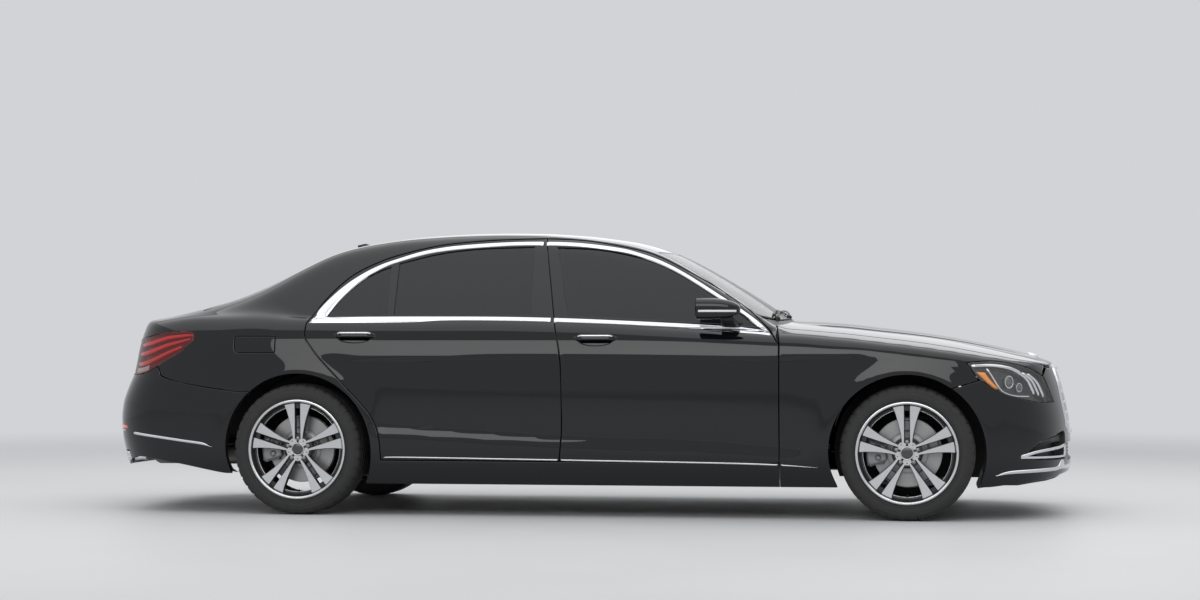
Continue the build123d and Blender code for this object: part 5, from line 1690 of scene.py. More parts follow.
for side in sides:
    body, node = f"front_door_{side}", f"mirror_{side}"
    stations = [mirror["back"] + 0.006, mirror["back"],
                *np.linspace(mirror["back"] + 0.004, mirror["tip"], 22)]
    shell = [mirrorRing(stations[0], 0.88), mirrorRing(stations[1], 0.93)]
    shell += [mirrorRing(x, max(mirrorScale(x), 0.02), -0.004 * ramp(x, 0.78, 0.9)) for x in stations[2:]]
    loft(f"mirrorShell_{side}", shell, "paint", body, "paint", side, [node])
    loft(f"mirrorGlass_{side}", [mirrorRing(mirror["back"] + 0.004, 0.86),
                                 mirrorRing(mirror["back"] + 0.0075, 0.86)],
         "mirrorFinish", body, "paint", side, [node])
    band = []
    for x in np.linspace(0.694, 0.885, 26):
        scale = mirrorScale(x)
        drop = abs(0.012 / (mirror["half"][1] * max(scale, 0.3)))
        reach = (1 - drop ** mirror["power"]) ** (1 / mirror["power"])
        outer = mirror["middle"][0] + mirror["half"][0] * scale * reach
        band.append(roundedRing((x, outer + 0.0003, mirror["middle"][1] - 0.012), (0, 0.0022, 0),
                                (0, 0, 0.0055), 2.5, 12))
    loft(f"mirrorBand_{side}", band, "lampWhite", body, "paint", side, [node])
    foot = []
    for share in np.linspace(0, 1, 14):
        y = 0.855 + 0.105 * share
        z = 0.990 + 0.040 * share ** 1.6
        foot.append(roundedRing((0.842 - 0.012 * share, y, z), (0.048 - 0.012 * share, 0, 0),
                                (0, -0.006 * (1 - share), 0.014 + 0.004 * share), 3.0, 24))
    loft(f"mirrorFoot_{side}", foot, "blackTrim", body, "paint", side, [node])
print("mirrors made")

# a plain ornament on the hood
ornamentAt = topChart(np.array([[2.372, 0.0]]))[0]
loft("hoodOrnament",
     [roundedRing(ornamentAt + [0, 0, up], (0.030 * size, 0, -0.008 * size), (0, 0.014 * size, 0), 2.0,
                  40)
                      for up, size in ((-0.004, 1.0), (0.003, 1.0), (0.006, 0.86), (0.0085, 0.55),
                                       (0.0095, 0.1))],
     "brightTrim", "hood", "bright_trim")

# roof fin, cowl and wipers
finRings = []
finBase = topChart(np.array([[-1.215, 0.0], [-1.335, 0.0]]))
for share in np.linspace(0, 1, 24):
    nose, heel = -1.200 - 0.098 * share ** 0.85, -1.338 - 0.006 * share
    rise = 0.050 * share - 0.005
    noseZ = np.interp(nose, [-1.335, -1.215], [finBase[1][2], finBase[0][2]])
    heelZ = np.interp(heel, [-1.335, -1.215], [finBase[1][2], finBase[0][2]])
    finRings.append(roundedRing(((nose + heel) / 2, 0, (noseZ + heelZ) / 2 + rise),
                                ((nose - heel) / 2, 0, (noseZ - heelZ) / 2),
                                (0, 0.018 * (1 - share) ** 0.9 + 0.004, 0),
                                2.1, 48))
loft("roofFin", finRings, "paint", "root", "paint").data.set_sharp_from_angle(angle=math.radians(80))
cowlHalf = joined([[(1.122, 0.0), (1.114, 0.3), (1.092, 0.55), (1.056, 0.738)],
                   [(1.056, 0.738), (0.970, 0.764)],
                   [(0.970, 0.764), (1.003, 0.70), (1.068, 0.4), (1.091, 0.0)]], spacing)
panel("cowl", bothHalves(np.vstack([cowlHalf, [(1.091, 0.0)]]))[:-1], topChart, "root", "blackTrim",
      "trim", sink=0.007,
      depth=0.012, replaced=["bulkhead"])
firewall = joined([[(-0.735, 0.222), (0.735, 0.222)], [(0.735, 0.222), (0.735, 0.935)],
                   [(0.735, 0.935), (0.40, 0.972), (0.0, 0.985), (-0.40, 0.972), (-0.735, 0.935)],
                   [(-0.735, 0.935), (-0.735, 0.222)]], 0.03)
loft("firewall", [np.column_stack([np.full(len(firewall), x),
                                   inward(firewall, drop) if drop else firewall])
                  for x, drop in ((1.043, 0.002), (1.044, 0.0), (1.052, 0.0), (1.053, 0.002))],
     "blackTrim", "root",
     "underbody", "left", ["bulkhead"])
for k, (pivot, tip) in enumerate((((1.060, 0.10), (0.995, 0.64)), ((1.045, -0.48), (1.045, 0.02)))):
    blade = [(pivot[0] - 0.02 + (tip[0] - pivot[0]) * t - 0.012 * math.sin(math.pi * t),
              pivot[1] + (tip[1] - pivot[1]) * t) for t in np.linspace(0, 1, 12)]
    onGlass = topChart(np.array(blade))
    tube(f"wiperBlade{k}", onGlass + bodyNormals(onGlass) * 0.0065, 0.0055, "blackTrim", "root", "trim")
    arm = [(pivot[0] + (blade[7][0] - pivot[0]) * t, pivot[1] + (blade[7][1] - pivot[1]) * t)
           for t in np.linspace(0, 1, 10)]
    arm = topChart(np.array(arm))
    armLift = np.array([0.010 + 0.010 * math.sin(math.pi * t) for t in np.linspace(0, 1, 10)])
    tube(f"wiperArm{k}", arm + bodyNormals(arm) * armLift[:, None], 0.0065, "blackTrim", "root", "trim",
         flat=0.6)
    base = topChart(np.array([pivot]))[0]
    lathe(f"wiperNut{k}", [(-0.004, 0.016), (0.010, 0.015), (0.013, 0.010), (0.014, 0.0004)], base,
          (0.4, 0, 1),
          "blackTrim", "root", "trim", steps=24)

# number plate holder on the lid, blank, with its two holes, and the exhaust
ringCount = 48


def holderRing(x, grow):
    middle = (plate["foot"] + plate["top"]) / 2
    return roundedRing((x, 0, middle), (0, plate["half"] + grow, 0),
                       (0, 0, (plate["top"] - plate["foot"]) / 2 + grow),
                       12.0, ringCount)


loft("plateHolder", [holderRing(x, g) for x, g in ((-2.455, 0.0), (-2.490, 0.0), (plate["face"], -0.004),
                                                  (plate["face"], -0.012), (-2.492, -0.013))],
     "blackTrim", "trunk_lid", "paint", replaced=["trunk_lid"])
for flip in (-1, 1):
    lathe(f"plateHole{flip}", [(0.0, plate["hole"] * 2.2), (0.0018, plate["hole"] * 2.2),
                               (0.0022, plate["hole"] * 1.7),
                               (0.0022, plate["hole"] * 1.05), (-0.012, plate["hole"])],
          (plate["face"] + 0.002, flip * plate["bolts"], plate["boltZ"]), (-1, 0, 0), "iron", "trunk_lid",
          "paint",
          replaced=["trunk_lid"], steps=24)


def tipRing(out, grow):
    # a ring that follows the bumper's curve, so far proud of it
    ring = roundedRing((0, 0.575, 0.292), (0, 0.108 + grow, 0), (0, 0, 0.0285 + grow), 5.0, 48)
    ring[:, 0] = views["back"](ring[:, 1:])[:, 0] - out
    return ring


for side in sides:
    onPipe = ("root", "exhaust", side, ["exhaust"])
    loft(f"exhaustTip_{side}", [tipRing(out, grow) for out, grow in
                                ((-0.090, -0.006), (-0.002, 0.0), (0.006, 0.0), (0.009, -0.002),
                                 (0.009, -0.0045),
                                 (0.005, -0.0070), (-0.030, -0.0085), (-0.088, -0.012))], "brightTrim",
         *onPipe)
    loft(f"exhaustMouth_{side}", [tipRing(out, grow) for out, grow in
                                  ((-0.095, -0.004), (-0.085, -0.004), (-0.084, -0.010))], "capFinish",
         *onPipe)
    box(f"silencer_{side}", (-2.33, 0.352, 0.245), (-1.73, 0.588, 0.340), "heatSteel", *onPipe, 0.03)
    tube(f"downPipe_{side}", [(1.18, 0.070, 0.185), (0.6, 0.070, 0.180), (0.0, 0.070, 0.180),
                              (-0.98, 0.070, 0.182)], 0.027,
         "heatSteel", *onPipe, 18)
    box(f"catalyst_{side}", (-1.18, 0.025, 0.160), (-0.98, 0.115, 0.225), "heatSteel", *onPipe, 0.02)
    tube(f"rearPipe_{side}", [(-1.17, 0.055, 0.195), (-1.35, 0.040, 0.200), (-1.68, 0.045, 0.215),
                              (-1.75, 0.16, 0.260),
                              (-1.77, 0.35, 0.270), (-1.80, 0.44, 0.275)], 0.025, "heatSteel", *onPipe, 18)
print("small outside pieces made")


# walls on the inner sides of the wheel wells
def slab(name, outline, low, high, materialName, body, slotName, side="left", replaced=(), edge=0.003):
    # an outline in (x, z) made into a plate between two values of y, its edges eased
    rings = []
    for y, shrink in ((low, edge), (low + edge, 0.0), (high - edge, 0.0), (high, edge)):
        loop = inward(outline, shrink) if shrink else outline
        rings.append(np.column_stack([loop[:, 0], np.full(len(loop), y), loop[:, 1]]))
    return loft(name, rings, materialName, body, slotName, side, replaced)


for side in sides:
    for axle, inner, foot, reach in (("front", 0.468, 0.200, 0.392), ("rear", 0.594, 0.195, 0.392)):
        start = math.degrees(math.asin((foot - wheelZ) / reach))
        arch = arcPoints((axleX[axle], wheelZ), reach, start, 180 - start, 28)
        outline = joined([arch, [arch[-1], arch[0]]], 0.03)
        slab(f"{axle}WellWall_{side}", outline, inner, inner + 0.008, "liner", "root", "liner", side,
             ["wheel_arch_liners"])

# body, slot, side and nodes that many cabin pieces share
onDash = ("root", "trim", "left", ["dashboard"])
onBench = ("root", "trim", "left", ["rear_seat"])
onRoof = ("root", "trim", "left", ["roof_panel"])
onFloor = ("root", "underbody", "left", ["floor_pan"])

# seats: leather cushions blown up a little by simulation, then sewn into flutes
seat = {"voxel": 0.018, "pressure": 4.0, "swell": 0.011, "fluteDepth": 0.006, "fill": 0.6,
        "mass": 0.3, "quality": 5, "frames": 20}
cushions = {}


def puffed(points, faces):
    # a closed skin, remeshed and blown up; the swelling is held to a small amount
    mesh = bpy.data.meshes.new("cushionStart")
    mesh.from_pydata([tuple(p) for p in points], [], faces)
    mesh.validate()
    made = placed("cushionStart", mesh)
    remesh = made.modifiers.new("remesh", "REMESH")
    remesh.mode = "VOXEL"
    remesh.voxel_size = seat["voxel"]
    fresh = bpy.data.meshes.new_from_object(made.evaluated_get(bpy.context.evaluated_depsgraph_get()))
    made.modifiers.clear()
    made.data = fresh
    before = np.array([v.co for v in fresh.vertices])
    after = before
    cloth = made.modifiers.new("cloth", "CLOTH")
    cloth.settings.quality = seat["quality"]
    cloth.settings.mass = seat["mass"]
    cloth.settings.use_pressure = True
    cloth.settings.uniform_pressure_force = seat["pressure"]
    cloth.settings.effector_weights.gravity = 0.0
    cloth.collision_settings.use_collision = False
    cloth.point_cache.frame_start, cloth.point_cache.frame_end = 1, seat["frames"]
    for frameNumber in range(1, seat["frames"] + 1):
        scene.frame_set(frameNumber)
    blown = bpy.data.meshes.new_from_object(made.evaluated_get(bpy.context.evaluated_depsgraph_get()))
    move = np.array([v.co for v in blown.vertices]) - before
    length = np.linalg.norm(move, axis=1)
    after = before + move * (np.minimum(length, seat["swell"]) / np.maximum(length, 1e-9))[:, None]
    scene.frame_set(1)
    made.modifiers.clear()
    fresh.vertices.foreach_set("co", after.ravel())
    divide = made.modifiers.new("divide", "SUBSURF")
    divide.levels = 1
    result = bpy.data.meshes.new_from_object(made.evaluated_get(bpy.context.evaluated_depsgraph_get()))
    corners = np.array([v.co for v in result.vertices])
    loops = [tuple(f.vertices) for f in result.polygons]
    bpy.data.objects.remove(made)
    return corners, loops


def cushion(name, key, start, place, node, side="left", body="root"):
    # start makes the plain skin once for each key; place moves it to its seat
    if key not in cushions:
        points, faces, flutes = start()
        corners, loops = puffed(points, faces)
        if flutes is not None:
            corners = corners - flutes(corners)
        cushions[key] = (corners, loops)
    corners, loops = cushions[key]
    made = meshObject(f"{name}_{side}", *onSide(place(corners.copy()), loops, side), "leather", body,
                      "seat_leather",
                      None, [node])
    return made


def padRings(path, across, thick, power=5.0, count=36, ends=0.75):
    # rings along a path of (x, z), as wide in y as across and as thick as thick, rounded at both ends
    path = np.array(path, float)
    line = smoothRun([tuple(p) for p in path], 0.02)
    share = np.linspace(0, 1, len(line))
    rings = []
    for i, (x, z) in enumerate(line):
        ahead = line[min(i + 1, len(line) - 1)] - line[max(i - 1, 0)]
        ahead = ahead / np.linalg.norm(ahead)
        reach = min(share[i], 1 - share[i]) * len(line) * 0.02
        ease = ends + (1 - ends) * min(reach / 0.04, 1) ** 0.5
        width = np.interp(share[i], np.linspace(0, 1, len(across)), across)
        depth = np.interp(share[i], np.linspace(0, 1, len(thick)), thick)
        rings.append(roundedRing((x, 0, z), (0, width * (0.9 + 0.1 * ease), 0),
                                 np.array([-ahead[1], 0, ahead[0]]) * depth * ease, power, count))
    return rings


def fluted(first, last, pitch, seams, depth, facing):
    # grooves across y at a pitch along a line from first to last, and sewn lines along at the given y
    first, last, facing = np.array(first, float), np.array(last, float), np.array(facing, float)
    along = (last - first) / np.linalg.norm(last - first)
    length = np.linalg.norm(last - first)

    def sink(corners):
        place = (corners - first) @ along
        front = np.clip((corners - first) @ facing / 0.03 + 0.4, 0, 1)
        across = np.abs(place / pitch - np.round(place / pitch)) * pitch
        groove = np.exp(-(across / 0.0080) ** 2) * ((place > 0) & (place < length))
        for y in seams:
            groove = np.maximum(groove, np.exp(-((np.abs(corners[:, 1]) - y) / 0.006) ** 2))
        return (groove * front * depth)[:, None] * facing
    return sink


def frontCushion():
    points, faces = prism(padRings([(-0.115, 0.462), (0.10, 0.462), (0.30, 0.474), (0.372, 0.468)],
                                        [0.135, 0.138, 0.142], [0.060, 0.058, 0.062]))
    return points, faces, fluted((-0.09, 0, 0.50), (0.33, 0, 0.51), 0.062, (), seat["fluteDepth"],
                                 (0, 0, 1))


def frontBolster():
    rings = [ring + [0, 0.176, 0] for ring in
             padRings([(-0.125, 0.470), (0.10, 0.480), (0.30, 0.487), (0.380, 0.470)],
                      [0.031, 0.033, 0.031],
                      [0.066, 0.070, 0.060], 3.4, 24, 0.6)]
    return (*prism(rings), None)


def frontBack():
    points, faces = prism(padRings([(-0.135, 0.500), (-0.190, 0.66), (-0.248, 0.84), (-0.292, 1.000)],
                                        [0.135, 0.145, 0.125], [0.046, 0.048, 0.042]))
    return points, faces, fluted((-0.105, 0, 0.56), (-0.215, 0, 0.93), 0.062, (), seat["fluteDepth"],
                                 (0.955, 0, 0.296))


def backBolster():
    rings = [ring + [0.012, 0.172, 0] for ring in
             padRings([(-0.132, 0.490), (-0.185, 0.66), (-0.245, 0.84), (-0.292, 0.99)],
                      [0.033, 0.036, 0.028],
                      [0.058, 0.064, 0.046], 3.4, 24, 0.6)]
    return (*prism(rings), None)


def headPad():
    rings = padRings([(0.006, -0.075), (0.0, 0.0), (-0.012, 0.075)], [0.104, 0.112, 0.100],
                     [0.040, 0.046, 0.038], 3.6,
                     32, 0.55)
    return (*prism(rings), None)


def benchCushion():
    points, faces = prism(padRings([(-0.985, 0.462), (-0.80, 0.462), (-0.62, 0.474), (-0.540, 0.466)],
                                        [0.232, 0.236, 0.232], [0.066, 0.070, 0.066]))
    return points, faces, fluted((-0.94, 0, 0.51), (-0.60, 0, 0.52), 0.066, (0.165,), seat["fluteDepth"],
                                 (0, 0, 1))


def benchBack():
    points, faces = prism(padRings([(-1.010, 0.510), (-1.075, 0.68), (-1.150, 0.86), (-1.200, 0.985)],
                                        [0.230, 0.232, 0.215], [0.056, 0.060, 0.050]))
    return points, faces, fluted((-0.975, 0, 0.58), (-1.11, 0, 0.93), 0.066, (0.160,), seat["fluteDepth"],
                                 (0.93, 0, 0.36))


def benchMiddle():
    points, faces = prism(padRings([(-0.985, 0.470), (-0.80, 0.474), (-0.62, 0.484), (-0.545, 0.470)],
                                        [0.098, 0.098, 0.098], [0.062, 0.064, 0.060]))
    return points, faces, None


def benchArmrest():
    points, faces = prism(padRings([(-1.000, 0.520), (-1.065, 0.68), (-1.140, 0.86), (-1.185, 0.97)],
                                        [0.098, 0.098, 0.098], [0.056, 0.056, 0.050]))
    return points, faces, None


def moved(x=0.0, y=0.0, z=0.0):
    return lambda corners: corners + [x, y, z]


# name, the shape it shares, its place and the node it stands for
cushionTable = [
    ("frontCushion", "frontCushion", frontCushion, moved(y=0.375), "front_seats"),
    ("frontBack", "frontBack", frontBack, moved(y=0.375), "front_seats"),
    ("frontBolsterOut", "frontBolster", frontBolster, moved(y=0.375), "front_seats"),
    ("frontBolsterIn", "frontBolster", frontBolster, moved(y=0.022), "front_seats"),
    ("backBolsterOut", "backBolster", backBolster, moved(y=0.375), "front_seats"),
    ("backBolsterIn", "backBolster", backBolster, moved(y=0.028), "front_seats"),
    ("frontHeadrest", "headPad", headPad, moved(-0.305, 0.375, 1.118), "front_seats"),
    ("benchCushion", "benchCushion", benchCushion, moved(y=0.352), "rear_seat"),
    ("benchBack", "benchBack", benchBack, moved(y=0.350), "rear_seat"),
    ("rearHeadrest", "headPad", headPad, moved(-1.225, 0.350, 1.105), "rear_seat")]
for side in sides:
    for name, key, start, place, node in cushionTable:
        cushion(name, key, start, place, node, side)
    box(f"seatPlinth_{side}", (-0.130, 0.190, 0.262), (0.350, 0.560, 0.412), "blackTrim", "root", "trim",
        side,
        ["front_seats"], 0.02)
    for flip, railY in ((0, 0.235), (1, 0.515)):
        box(f"seatRail{flip}_{side}", (-0.190, railY - 0.018, 0.226), (0.372, railY + 0.018, 0.264),
            "chassisMetal",
            "root", "trim", side, ["front_seats"], 0.005)
    shellRings = [ring + [-0.052, 0.375, 0.0] for ring in
                  padRings([(-0.128, 0.44), (-0.185, 0.66), (-0.245, 0.84), (-0.290, 0.99)],
                           [0.175, 0.195, 0.160],
                           [0.018, 0.020, 0.016], 4.0, 36, 0.7)]
    loft(f"seatShell_{side}", shellRings, "blackTrim", "root", "trim", side, ["front_seats"])
    for place, node, x, y, z in (("front", "front_seats", -0.298, 0.375, 0.985),
                                 ("rear", "rear_seat", -1.212, 0.350, 0.98)):
        for flip in (-1, 1):
            tube(f"{place}HeadPost{flip}_{side}", [(x, y + flip * 0.052, z),
                                                   (x - 0.006, y + flip * 0.052, z + 0.10)],
                 0.0055, "brightTrim", "root", "seat_leather", side, [node])
cushion("benchMiddle", "benchMiddle", benchMiddle, moved(), "rear_seat")
cushion("benchArmrest", "benchArmrest", benchArmrest, moved(), "rear_seat")
box("benchBase", (-1.000, -0.585, 0.368), (-0.560, 0.585, 0.415), "blackTrim", *onBench, 0.015)
slab("benchRear", joined([[(-1.045, 0.420), (-1.235, 1.010)], [(-1.235, 1.010), (-1.292, 1.000)],
                          [(-1.292, 1.000), (-1.290, 0.410)], [(-1.290, 0.410), (-1.045, 0.420)]], 0.03),
     -0.600, 0.600,
     "blackTrim", *onBench, 0.01)
print("seats made")

# dashboard, screens, vents, console and steering wheel
dash = {"halfWidth": 0.752}
dashSection = [(1.066, 0.905), (1.00, 0.930), (0.90, 0.938), (0.80, 0.925), (0.735, 0.895),
               (0.715, 0.862), (0.722, 0.800),
               (0.735, 0.745), (0.715, 0.715), (0.700, 0.660), (0.735, 0.600), (0.85, 0.572),
               (1.030, 0.580)]
dashLoop = joined([dashSection[:5], dashSection[4:8], dashSection[7:10], dashSection[9:],
                   [dashSection[-1], dashSection[0]]], 0.012)
dashRings = []
for share in np.linspace(-1, 1, 27):
    bow = 0.035 * share ** 2
    loop = inward(dashLoop, 0.010 * abs(share) ** 12) if abs(share) > 0.7 else dashLoop
    dashRings.append(np.column_stack([loop[:, 0] + bow * (loop[:, 0] < 0.9),
                                      np.full(len(loop), share * dash["halfWidth"]),
                                      loop[:, 1]]))
loft("dashBody", dashRings, "dashSkin", *onDash)
fascia = []
for share in np.linspace(-0.97, 0.97, 25):
    x = 0.7165 + 0.035 * share ** 2
    fascia.append(roundedRing((x, share * dash["halfWidth"], 0.800), (0.008, 0, 0.0), (0.002, 0, 0.040),
                              4.0, 20))
loft("dashWood", fascia, "woodTrim", *onDash)
for high, name in ((0.843, "Upper"), (0.757, "Lower")):
    line = [(0.7085 + 0.035 * s ** 2, s * dash["halfWidth"], high) for s in np.linspace(-0.96, 0.96, 15)]
    tube(f"dashLine{name}", line, 0.0032, "brightTrim", *onDash, 8)
screenRings = [roundedRing((x, 0.215, 0.888), (0, 0.405 - drop, 0), (0.010, 0, 0.056 - drop), 9.0, 48)
               for x, drop in ((0.722, 0.0), (0.684, 0.0), (0.680, 0.003), (0.6795, 0.008))]
loft("screenHousing", screenRings, "blackTrim", *onDash)
for name, y, half in (("driverScreen", 0.400, 0.170), ("middleScreen", 0.015, 0.170)):
    pane = [roundedRing((x, y, 0.888), (0, half - drop, 0), (0.009, 0, 0.046 - drop), 14.0, 40)
            for x, drop in ((0.684, 0.0), (0.6788, 0.0), (0.6782, 0.001))]
    loft(name, pane, "eyeGlass", *onDash)
for i, (x, y) in enumerate(((0.706, -0.150), (0.705, -0.052), (0.705, 0.052), (0.706, 0.150),
                            (0.731, 0.650),
                            (0.731, -0.650))):
    lathe(f"ventRing{i}", [(0.0, 0.034), (0.006, 0.034), (0.0085, 0.0325), (0.0085, 0.0295),
                           (0.002, 0.0280),
                           (-0.004, 0.0270)], (x, y, 0.800), (-1, 0, 0), "brightTrim", "root", "trim",
          ["dashboard"], 40)
    lathe(f"ventCore{i}", [(-0.002, 0.027), (0.001, 0.027), (0.002, 0.012), (0.006, 0.011),
                           (0.0065, 0.0005)],
          (x, y, 0.800), (-1, 0, 0), "blackTrim", "root", "trim", ["dashboard"], 32)
    for k in range(-2, 3):
        reach = math.sqrt(0.0265 ** 2 - (k * 0.0095) ** 2)
        tube(f"ventSlat{i}_{k}", [(x - 0.003, y - reach, 0.800 + k * 0.0095),
                                  (x - 0.003, y + reach, 0.800 + k * 0.0095)],
             0.0014, "blackTrim", *onDash, 6)
consoleRings = []
for x, half, top in ((-0.150, 0.105, 0.585), (-0.140, 0.118, 0.600), (0.0, 0.122, 0.608),
                     (0.20, 0.126, 0.612),
                     (0.40, 0.130, 0.622), (0.56, 0.134, 0.650), (0.68, 0.138, 0.688),
                     (0.74, 0.138, 0.700)):
    consoleRings.append(roundedRing((x, 0, (top + 0.330) / 2), (0, half, 0), (0, 0, (top - 0.330) / 2),
                                    7.0, 40))
loft("consoleBody", consoleRings, "dashSkin", *onDash)
lidRings = [roundedRing((x, 0, z + 0.006), (0, half, 0), (0, 0, 0.008), 5.0, 28) for x, half, z in
            ((0.215, 0.095, 0.612), (0.225, 0.104, 0.612), (0.42, 0.108, 0.624), (0.56, 0.112, 0.650),
             (0.66, 0.112, 0.680),
             (0.668, 0.104, 0.683))]
loft("consoleLid", lidRings, "woodTrim", *onDash)
lathe("controlKnob", [(0.0, 0.030), (0.010, 0.030), (0.014, 0.027), (0.026, 0.025), (0.029, 0.021),
                      (0.030, 0.0005)],
      (0.305, 0, 0.622), (0.05, 0, 1), "brightTrim", "root", "trim", ["dashboard"], 40)


def armPad():
    return (*prism(padRings([(-0.120, 0.618), (0.0, 0.624), (0.185, 0.626)], [0.100, 0.106, 0.100],
                                 [0.022, 0.024, 0.022], 4.0, 32, 0.6)), None)


cushion("consoleArmrest", "armPad", armPad, moved(), "dashboard")

steering = {"centre": (0.430, 0.375, 0.872), "tilt": 24.0, "radius": 0.1715, "grip": 0.0155}
tilt = math.radians(steering["tilt"])
wheelOut = np.array([-math.cos(tilt), 0, math.sin(tilt)])
wheelUp = np.array([math.sin(tilt), 0, math.cos(tilt)])
wheelAside = np.array([0.0, 1.0, 0.0])


def onSteering(across, up, out):
    return np.array(steering["centre"]) + wheelAside * across + wheelUp * up + wheelOut * out


gripPoints = []
for turnAngle in fullTurn(96):
    for roundAngle in fullTurn(16):
        swell = 1 + 0.10 * math.exp(-((abs(math.sin(turnAngle)) - 0.35) / 0.2) ** 2)
        reach = steering["radius"] + steering["grip"] * swell * math.cos(roundAngle)
        flatFoot = 0.006 * max(-math.sin(turnAngle) - 0.9, 0) * 10
        gripPoints.append(onSteering(reach * math.cos(turnAngle), reach * math.sin(turnAngle) + flatFoot,
                                     steering["grip"] * 0.92 * swell * math.sin(roundAngle)))
gripPoints = np.array(gripPoints)
gripFaces = outwardFaces(gripPoints - np.array(steering["centre"]), gridFaces(96, 16, True, True))
meshObject("steeringGrip", gripPoints, gripFaces, "leather", "steering_wheel", "trim", None,
           ["steering_wheel"])
hubRings = []
for out, half, tall in ((-0.045, 0.050, 0.040), (-0.020, 0.078, 0.060), (0.0, 0.086, 0.067),
                        (0.008, 0.084, 0.065),
                        (0.014, 0.072, 0.055), (0.017, 0.045, 0.034)):
    hubRings.append(roundedRing(onSteering(0, -0.004, out), wheelAside * half, wheelUp * tall, 2.8, 40))
loft("steeringHub", hubRings, "dashSkin", "steering_wheel", "trim", "left", ["steering_wheel"])
for name, angle, reachFrom, wide in (("Left", 8.0, 0.070, 0.019), ("Right", 172.0, 0.070, 0.019),
                                     ("FootLeft", 263.0, 0.055, 0.010),
                                     ("FootRight", 277.0, 0.055, 0.010)):
    along = np.array([math.cos(math.radians(angle)), math.sin(math.radians(angle))])
    spokeRings = []
    for share in np.linspace(0, 1, 9):
        reach = reachFrom + (0.166 - reachFrom) * share
        middle = onSteering(along[0] * reach, along[1] * reach, 0.004 - 0.004 * share)
        aside = wheelAside * -along[1] + wheelUp * along[0]
        spokeRings.append(roundedRing(middle, aside * wide * (1 - 0.25 * math.sin(math.pi * share)),
                                      wheelOut * 0.006, 3.0,
                                      20))
    loft(f"steeringSpoke{name}", spokeRings, "alloyFace" if "Foot" in name else "capFinish",
         "steering_wheel", "trim",
         "left", ["steering_wheel"])
tube("steeringColumn", [tuple(onSteering(0, 0, -0.060)), tuple(onSteering(0, 0, -0.16)),
                        tuple(onSteering(0, 0, -0.30))],
     0.034, "blackTrim", *onDash, 20)
for flip in (-1, 1):
    tube(f"stalk{flip}", [tuple(onSteering(flip * 0.03, 0, -0.075)),
                          tuple(onSteering(flip * 0.10, 0.01, -0.070)),
                          tuple(onSteering(flip * 0.155, 0.02, -0.062))], 0.0065, "blackTrim", *onDash,
         10)
for y in (0.30, 0.44):
    box(f"pedal_{int(y * 100)}", (0.935, y - 0.035, 0.300), (0.950, y + 0.035, 0.395), "blackTrim",
        *onDash, 0.005)
mirrorAt = (0.455, 1.300)
mirrorBody = [roundedRing((mirrorAt[0] + x, 0, mirrorAt[1]), (0, 0.118 - drop, 0),
                          (0.008, 0, 0.032 - drop), 5.0, 36)
              for x, drop in ((0.026, 0.012), (0.018, 0.002), (0.004, 0.0), (0.0, 0.003))]
loft("cabinMirror", mirrorBody, "blackTrim", *onRoof)
loft("cabinMirrorGlass",
     [roundedRing((mirrorAt[0] + x, 0, mirrorAt[1]), (0, 0.113, 0), (0.008, 0, 0.027), 5.0, 36)
                          for x in (0.0005, -0.0015)], "mirrorFinish", *onRoof)
glassAbove = topChart(np.array([[mirrorAt[0] + 0.055, 0.0]]))[0]
tube("cabinMirrorStem", [(mirrorAt[0] + 0.020, 0, mirrorAt[1] + 0.008),
                         (mirrorAt[0] + 0.035, 0, mirrorAt[1] + 0.030),
                         (glassAbove[0], 0, glassAbove[2] - 0.012)], 0.009, "blackTrim", *onRoof, 10)
print("dashboard made")

